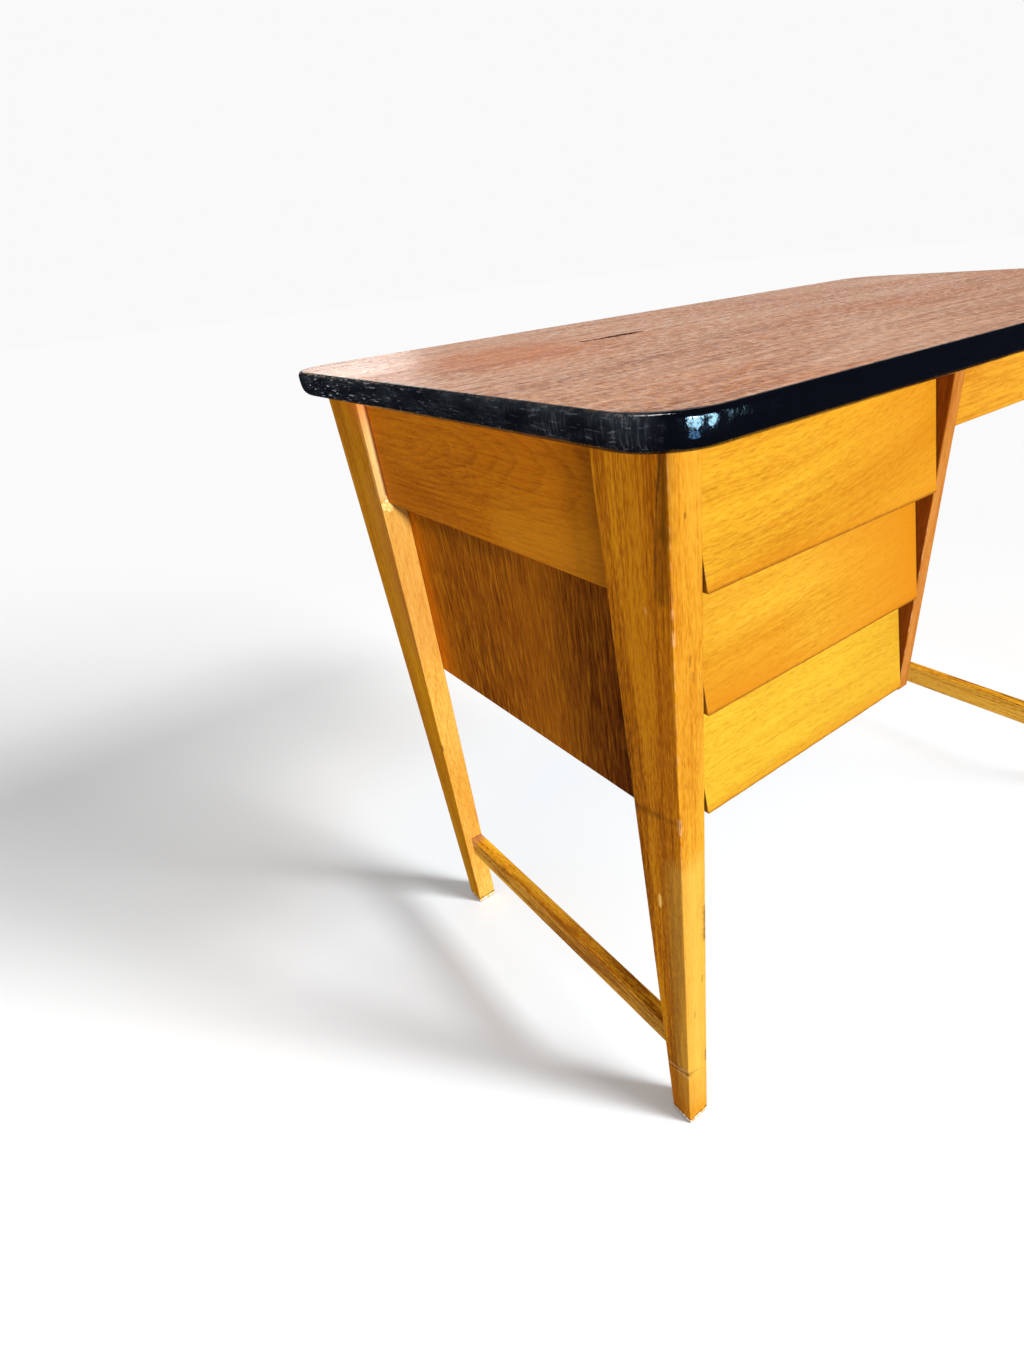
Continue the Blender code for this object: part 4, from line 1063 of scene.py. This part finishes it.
def make_lipping():
    low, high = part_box("top_lipping")
    veneer_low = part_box("top_veneer")[0]
    form = bmesh.new()
    lipping_section(form, (high.x, high.y - TOP_CORNER_RADIUS), low.z, high.z, veneer_low.z - SEAM)
    section = list(form.verts) + list(form.edges)
    reach_x = high.x - TOP_CORNER_RADIUS
    reach_y = high.y - TOP_CORNER_RADIUS
    corners = ((reach_x, reach_y), (-reach_x, reach_y), (-reach_x, -reach_y), (reach_x, -reach_y))
    for index, corner in enumerate(corners):
        section = swept(form, section, (*corner, 0.0), QUARTER, (0, 0, 0), TOP_CORNER_STEPS)
        run = Vector(corners[(index + 1) % len(corners)]) - Vector(corner)
        steps = int(run.length / TOP_RUN_SLICE)
        section = swept(form, section, (0, 0, 0), 0.0, (*(run / steps), 0.0), steps)
    bmesh.ops.remove_doubles(form, verts=form.verts, dist=SEAM / 10)
    bmesh.ops.recalc_face_normals(form, faces=form.faces)
    form.normal_update()
    arris = form.verts.layers.float.new("arris")
    for vert in form.verts:
        vert[arris] = max(0.0, min(1.0, (vert.co.z - high.z + LIPPING_TOP_ROUND) / LIPPING_TOP_ROUND))
        ripple = noise.fractal(vert.co * LACQUER_RIPPLE_FINENESS, *LACQUER_RIPPLE_OCTAVES)
        if vert.co.z > low.z + SEAM:
            vert.co += vert.normal * LACQUER_RIPPLE * ripple * (1 - vert[arris])
    finish = black_lacquer("black_lacquer_worn", low, high)
    put("top_lipping_worn", form, finish, "frame", "black_lacquer", "top_lipping")


def make_veneer():
    low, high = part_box("top_veneer")
    reach_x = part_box("top_lipping")[1].x - TOP_CORNER_RADIUS
    form = box_block(low, high)
    upright = [edge for edge in form.edges if abs(edge.verts[0].co.z - edge.verts[1].co.z) > SEAM]
    round_edges(form, upright, high.x - reach_x, TOP_CORNER_STEPS)
    round_edges(form, sharp_edges(form), VENEER_ARRIS, VENEER_ARRIS_STEPS)
    finish = brown_veneer("brown_veneer_worn", high)
    put("top_veneer_worn", form, finish, "frame", "brown_veneer", "top_veneer")


# The bead of glue: half its size, its seat by the apron, and its lumps
GLUE_SIZE = (0.0070, 0.0016, 0.0058)
GLUE_INSET = 0.0075
GLUE_HANG = 0.002
GLUE_SWELL = 0.45
GLUE_SWELL_FINENESS = 1.7
GLUE_STEPS = 4


def make_glue_run():
    """A bead of dried glue where the left apron meets the rear leg."""
    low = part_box("left_apron")[0]
    leg = LEGS["rear_left_leg"]
    seat = Vector((leg.low.x + GLUE_INSET, leg.inner(low.z) - GLUE_SIZE[1] / 2, low.z - GLUE_HANG))
    form = bmesh.new()
    bmesh.ops.create_icosphere(form, subdivisions=GLUE_STEPS, radius=1.0)
    for vert in form.verts:
        swell = 1 + GLUE_SWELL * noise.noise(vert.co * GLUE_SWELL_FINENESS)
        vert.co = seat + Vector(a * b for a, b in zip(vert.co * swell, GLUE_SIZE))
    put("apron_glue_run", form, mottled("dried_glue", *GLUE), "frame", "plain_beech")


def dress_inner_nodes():
    """Finishes for the solids that keep their own shape."""
    finishes = {
        "beech_x": plain_beech("plain_beech_x", "x"),
        "beech_y": plain_beech("plain_beech_y", "y"),
        "ply_x": plywood("plywood_x", "x"),
        "ply_z": plywood("plywood_z", "z"),
        "zinc": mottled("zinc_steel_dull", *ZINC),
    }
    for name, node in NODES.items():
        if node.hide_render:
            continue
        if "screw" in name:
            finish = finishes["zinc"]
        elif name == "pedestal_back":
            finish = finishes["ply_z"]
        elif name == "top_core" or name.endswith("_bottom"):
            finish = finishes["ply_x"]
        else:
            finish = finishes["beech_x" if node.dimensions.x > node.dimensions.y else "beech_y"]
        node.data.materials.clear()
        node.data.materials.append(finish)
        weld = node.modifiers.new("joined_faces", "WELD")
        weld.merge_threshold = SEAM / 10
        ease = node.modifiers.new("eased_arrises", "BEVEL")
        ease.width = INNER_ARRIS
        ease.segments = INNER_ARRIS_STEPS
        ease.limit_method = "ANGLE"
        ease.angle_limit = ARRIS_ANGLE


def add_lamp(name, lamp, towards):
    holder = placed(name, lamp)
    holder.rotation_euler = Vector(towards).to_track_quat("Z", "Y").to_euler()
    return holder


def linked(name, state, *pieces):
    """A group of objects that a lamp keeps to, or off."""
    group = bpy.data.collections.new(name)
    for piece in pieces:
        group.objects.link(piece)
    for member in group.collection_objects:
        member.light_linking.link_state = state
    return group


def make_floor():
    form = bmesh.new()
    bmesh.ops.create_grid(form, x_segments=1, y_segments=1, size=FLOOR_SIZE / 2)
    look = Finish("pale_floor", 0.0)
    # Painted light: the floor darker away from FLOOR_BRIGHTEST, as a falloff of light
    reach = FLOOR_SHADES[-1][0]
    away = look.range(look.vector("DISTANCE", look.spot, FLOOR_BRIGHTEST), 0.0, reach)
    pale = look.shades(away, *((distance / reach, shade) for distance, shade in FLOOR_SHADES))
    # Painted light: a bluish tint by the desk against the wood's orange bounce light
    bounce_offset = look.range(look.vector("LENGTH", look.spot), *FLOOR_BOUNCE_OFFSET_REACH)
    look.colour = look.mix(bounce_offset, pale, FLOOR_BOUNCE_OFFSET)
    floor = placed_form("floor", form, look.finish(1.0))
    floor.visible_glossy = False
    return floor


def make_world():
    """An even sky, dimmer and bluer in the gloss, behind a plain backdrop."""
    world = bpy.data.worlds.new("studio")
    world.use_nodes = True
    bpy.context.scene.world = world
    tree = world.node_tree
    path = tree.nodes.new("ShaderNodeLightPath")

    def background(node, colour, strength):
        node.inputs["Color"].default_value = lit(colour)
        node.inputs["Strength"].default_value = strength
        return node.outputs[0]

    def chosen(ray, otherwise, when):
        blend = tree.nodes.new("ShaderNodeMixShader")
        for socket, source in zip(blend.inputs, (path.outputs[ray], otherwise, when)):
            tree.links.new(source, socket)
        return blend.outputs[0]

    sky = background(tree.nodes["Background"], WHITE, SKY_STRENGTH)
    in_gloss = background(tree.nodes.new("ShaderNodeBackground"), SKY_IN_GLOSS_COLOUR, SKY_IN_GLOSS)
    backdrop = background(tree.nodes.new("ShaderNodeBackground"), BACKDROP_COLOUR, 1.0)
    seen = chosen("Is Camera Ray", chosen("Is Glossy Ray", sky, in_gloss), backdrop)
    tree.links.new(seen, tree.nodes["World Output"].inputs["Surface"])


def make_lamps(floor):
    for name, (towards, strength, spread, floor_state, shadows) in LAMPS.items():
        lamp = bpy.data.lights.new(name, "SUN")
        lamp.energy = strength
        lamp.angle = math.radians(spread)
        lamp.use_shadow = shadows
        holder = add_lamp(name, lamp, towards)
        holder.light_linking.receiver_collection = linked(f"{name}_reach", floor_state, floor)
        if name in PASSED:
            passed = [bpy.data.objects[piece] for piece in PASSED[name]]
            holder.light_linking.blocker_collection = linked(f"{name}_passes", "EXCLUDE", *passed)


def make_panes(piece, aim, panes):
    for name, (place, size, power, colour) in panes.items():
        pane = bpy.data.lights.new(name, "AREA")
        pane.shape = "ELLIPSE"
        pane.size, pane.size_y = size
        pane.energy = power
        pane.color = colour
        holder = add_lamp(name, pane, Vector(place) - Vector(aim))
        holder.location = place
        holder.visible_camera = False
        holder.visible_diffuse = False
        reach = linked(f"{name}_reach", "INCLUDE", bpy.data.objects[piece])
        holder.light_linking.receiver_collection = reach


def make_camera():
    camera = bpy.data.cameras.new("camera")
    camera.lens = CAMERA_LENS
    camera.sensor_width = CAMERA_SENSOR
    camera.shift_x, camera.shift_y = CAMERA_SHIFT
    camera.clip_start = CAMERA_NEAR
    holder = placed("camera", camera)
    holder.location = CAMERA_PLACE
    holder.rotation_euler = Euler([math.radians(turn) for turn in CAMERA_TURN], "XYZ")
    bpy.context.scene.camera = holder
    bpy.context.scene.view_settings.view_transform = "Standard"


make_legs()
make_side_rails()
make_cross_rails()
make_pedestal_sides()
make_drawer_fronts()
make_lipping()
make_veneer()
make_glue_run()
dress_inner_nodes()
make_world()
make_lamps(make_floor())
make_panes("top_lipping_worn", LIPPING_CORNER, LIPPING_PANES)
make_panes("top_veneer_worn", TOP_LEFT_REAR, VENEER_PANES)
make_camera()
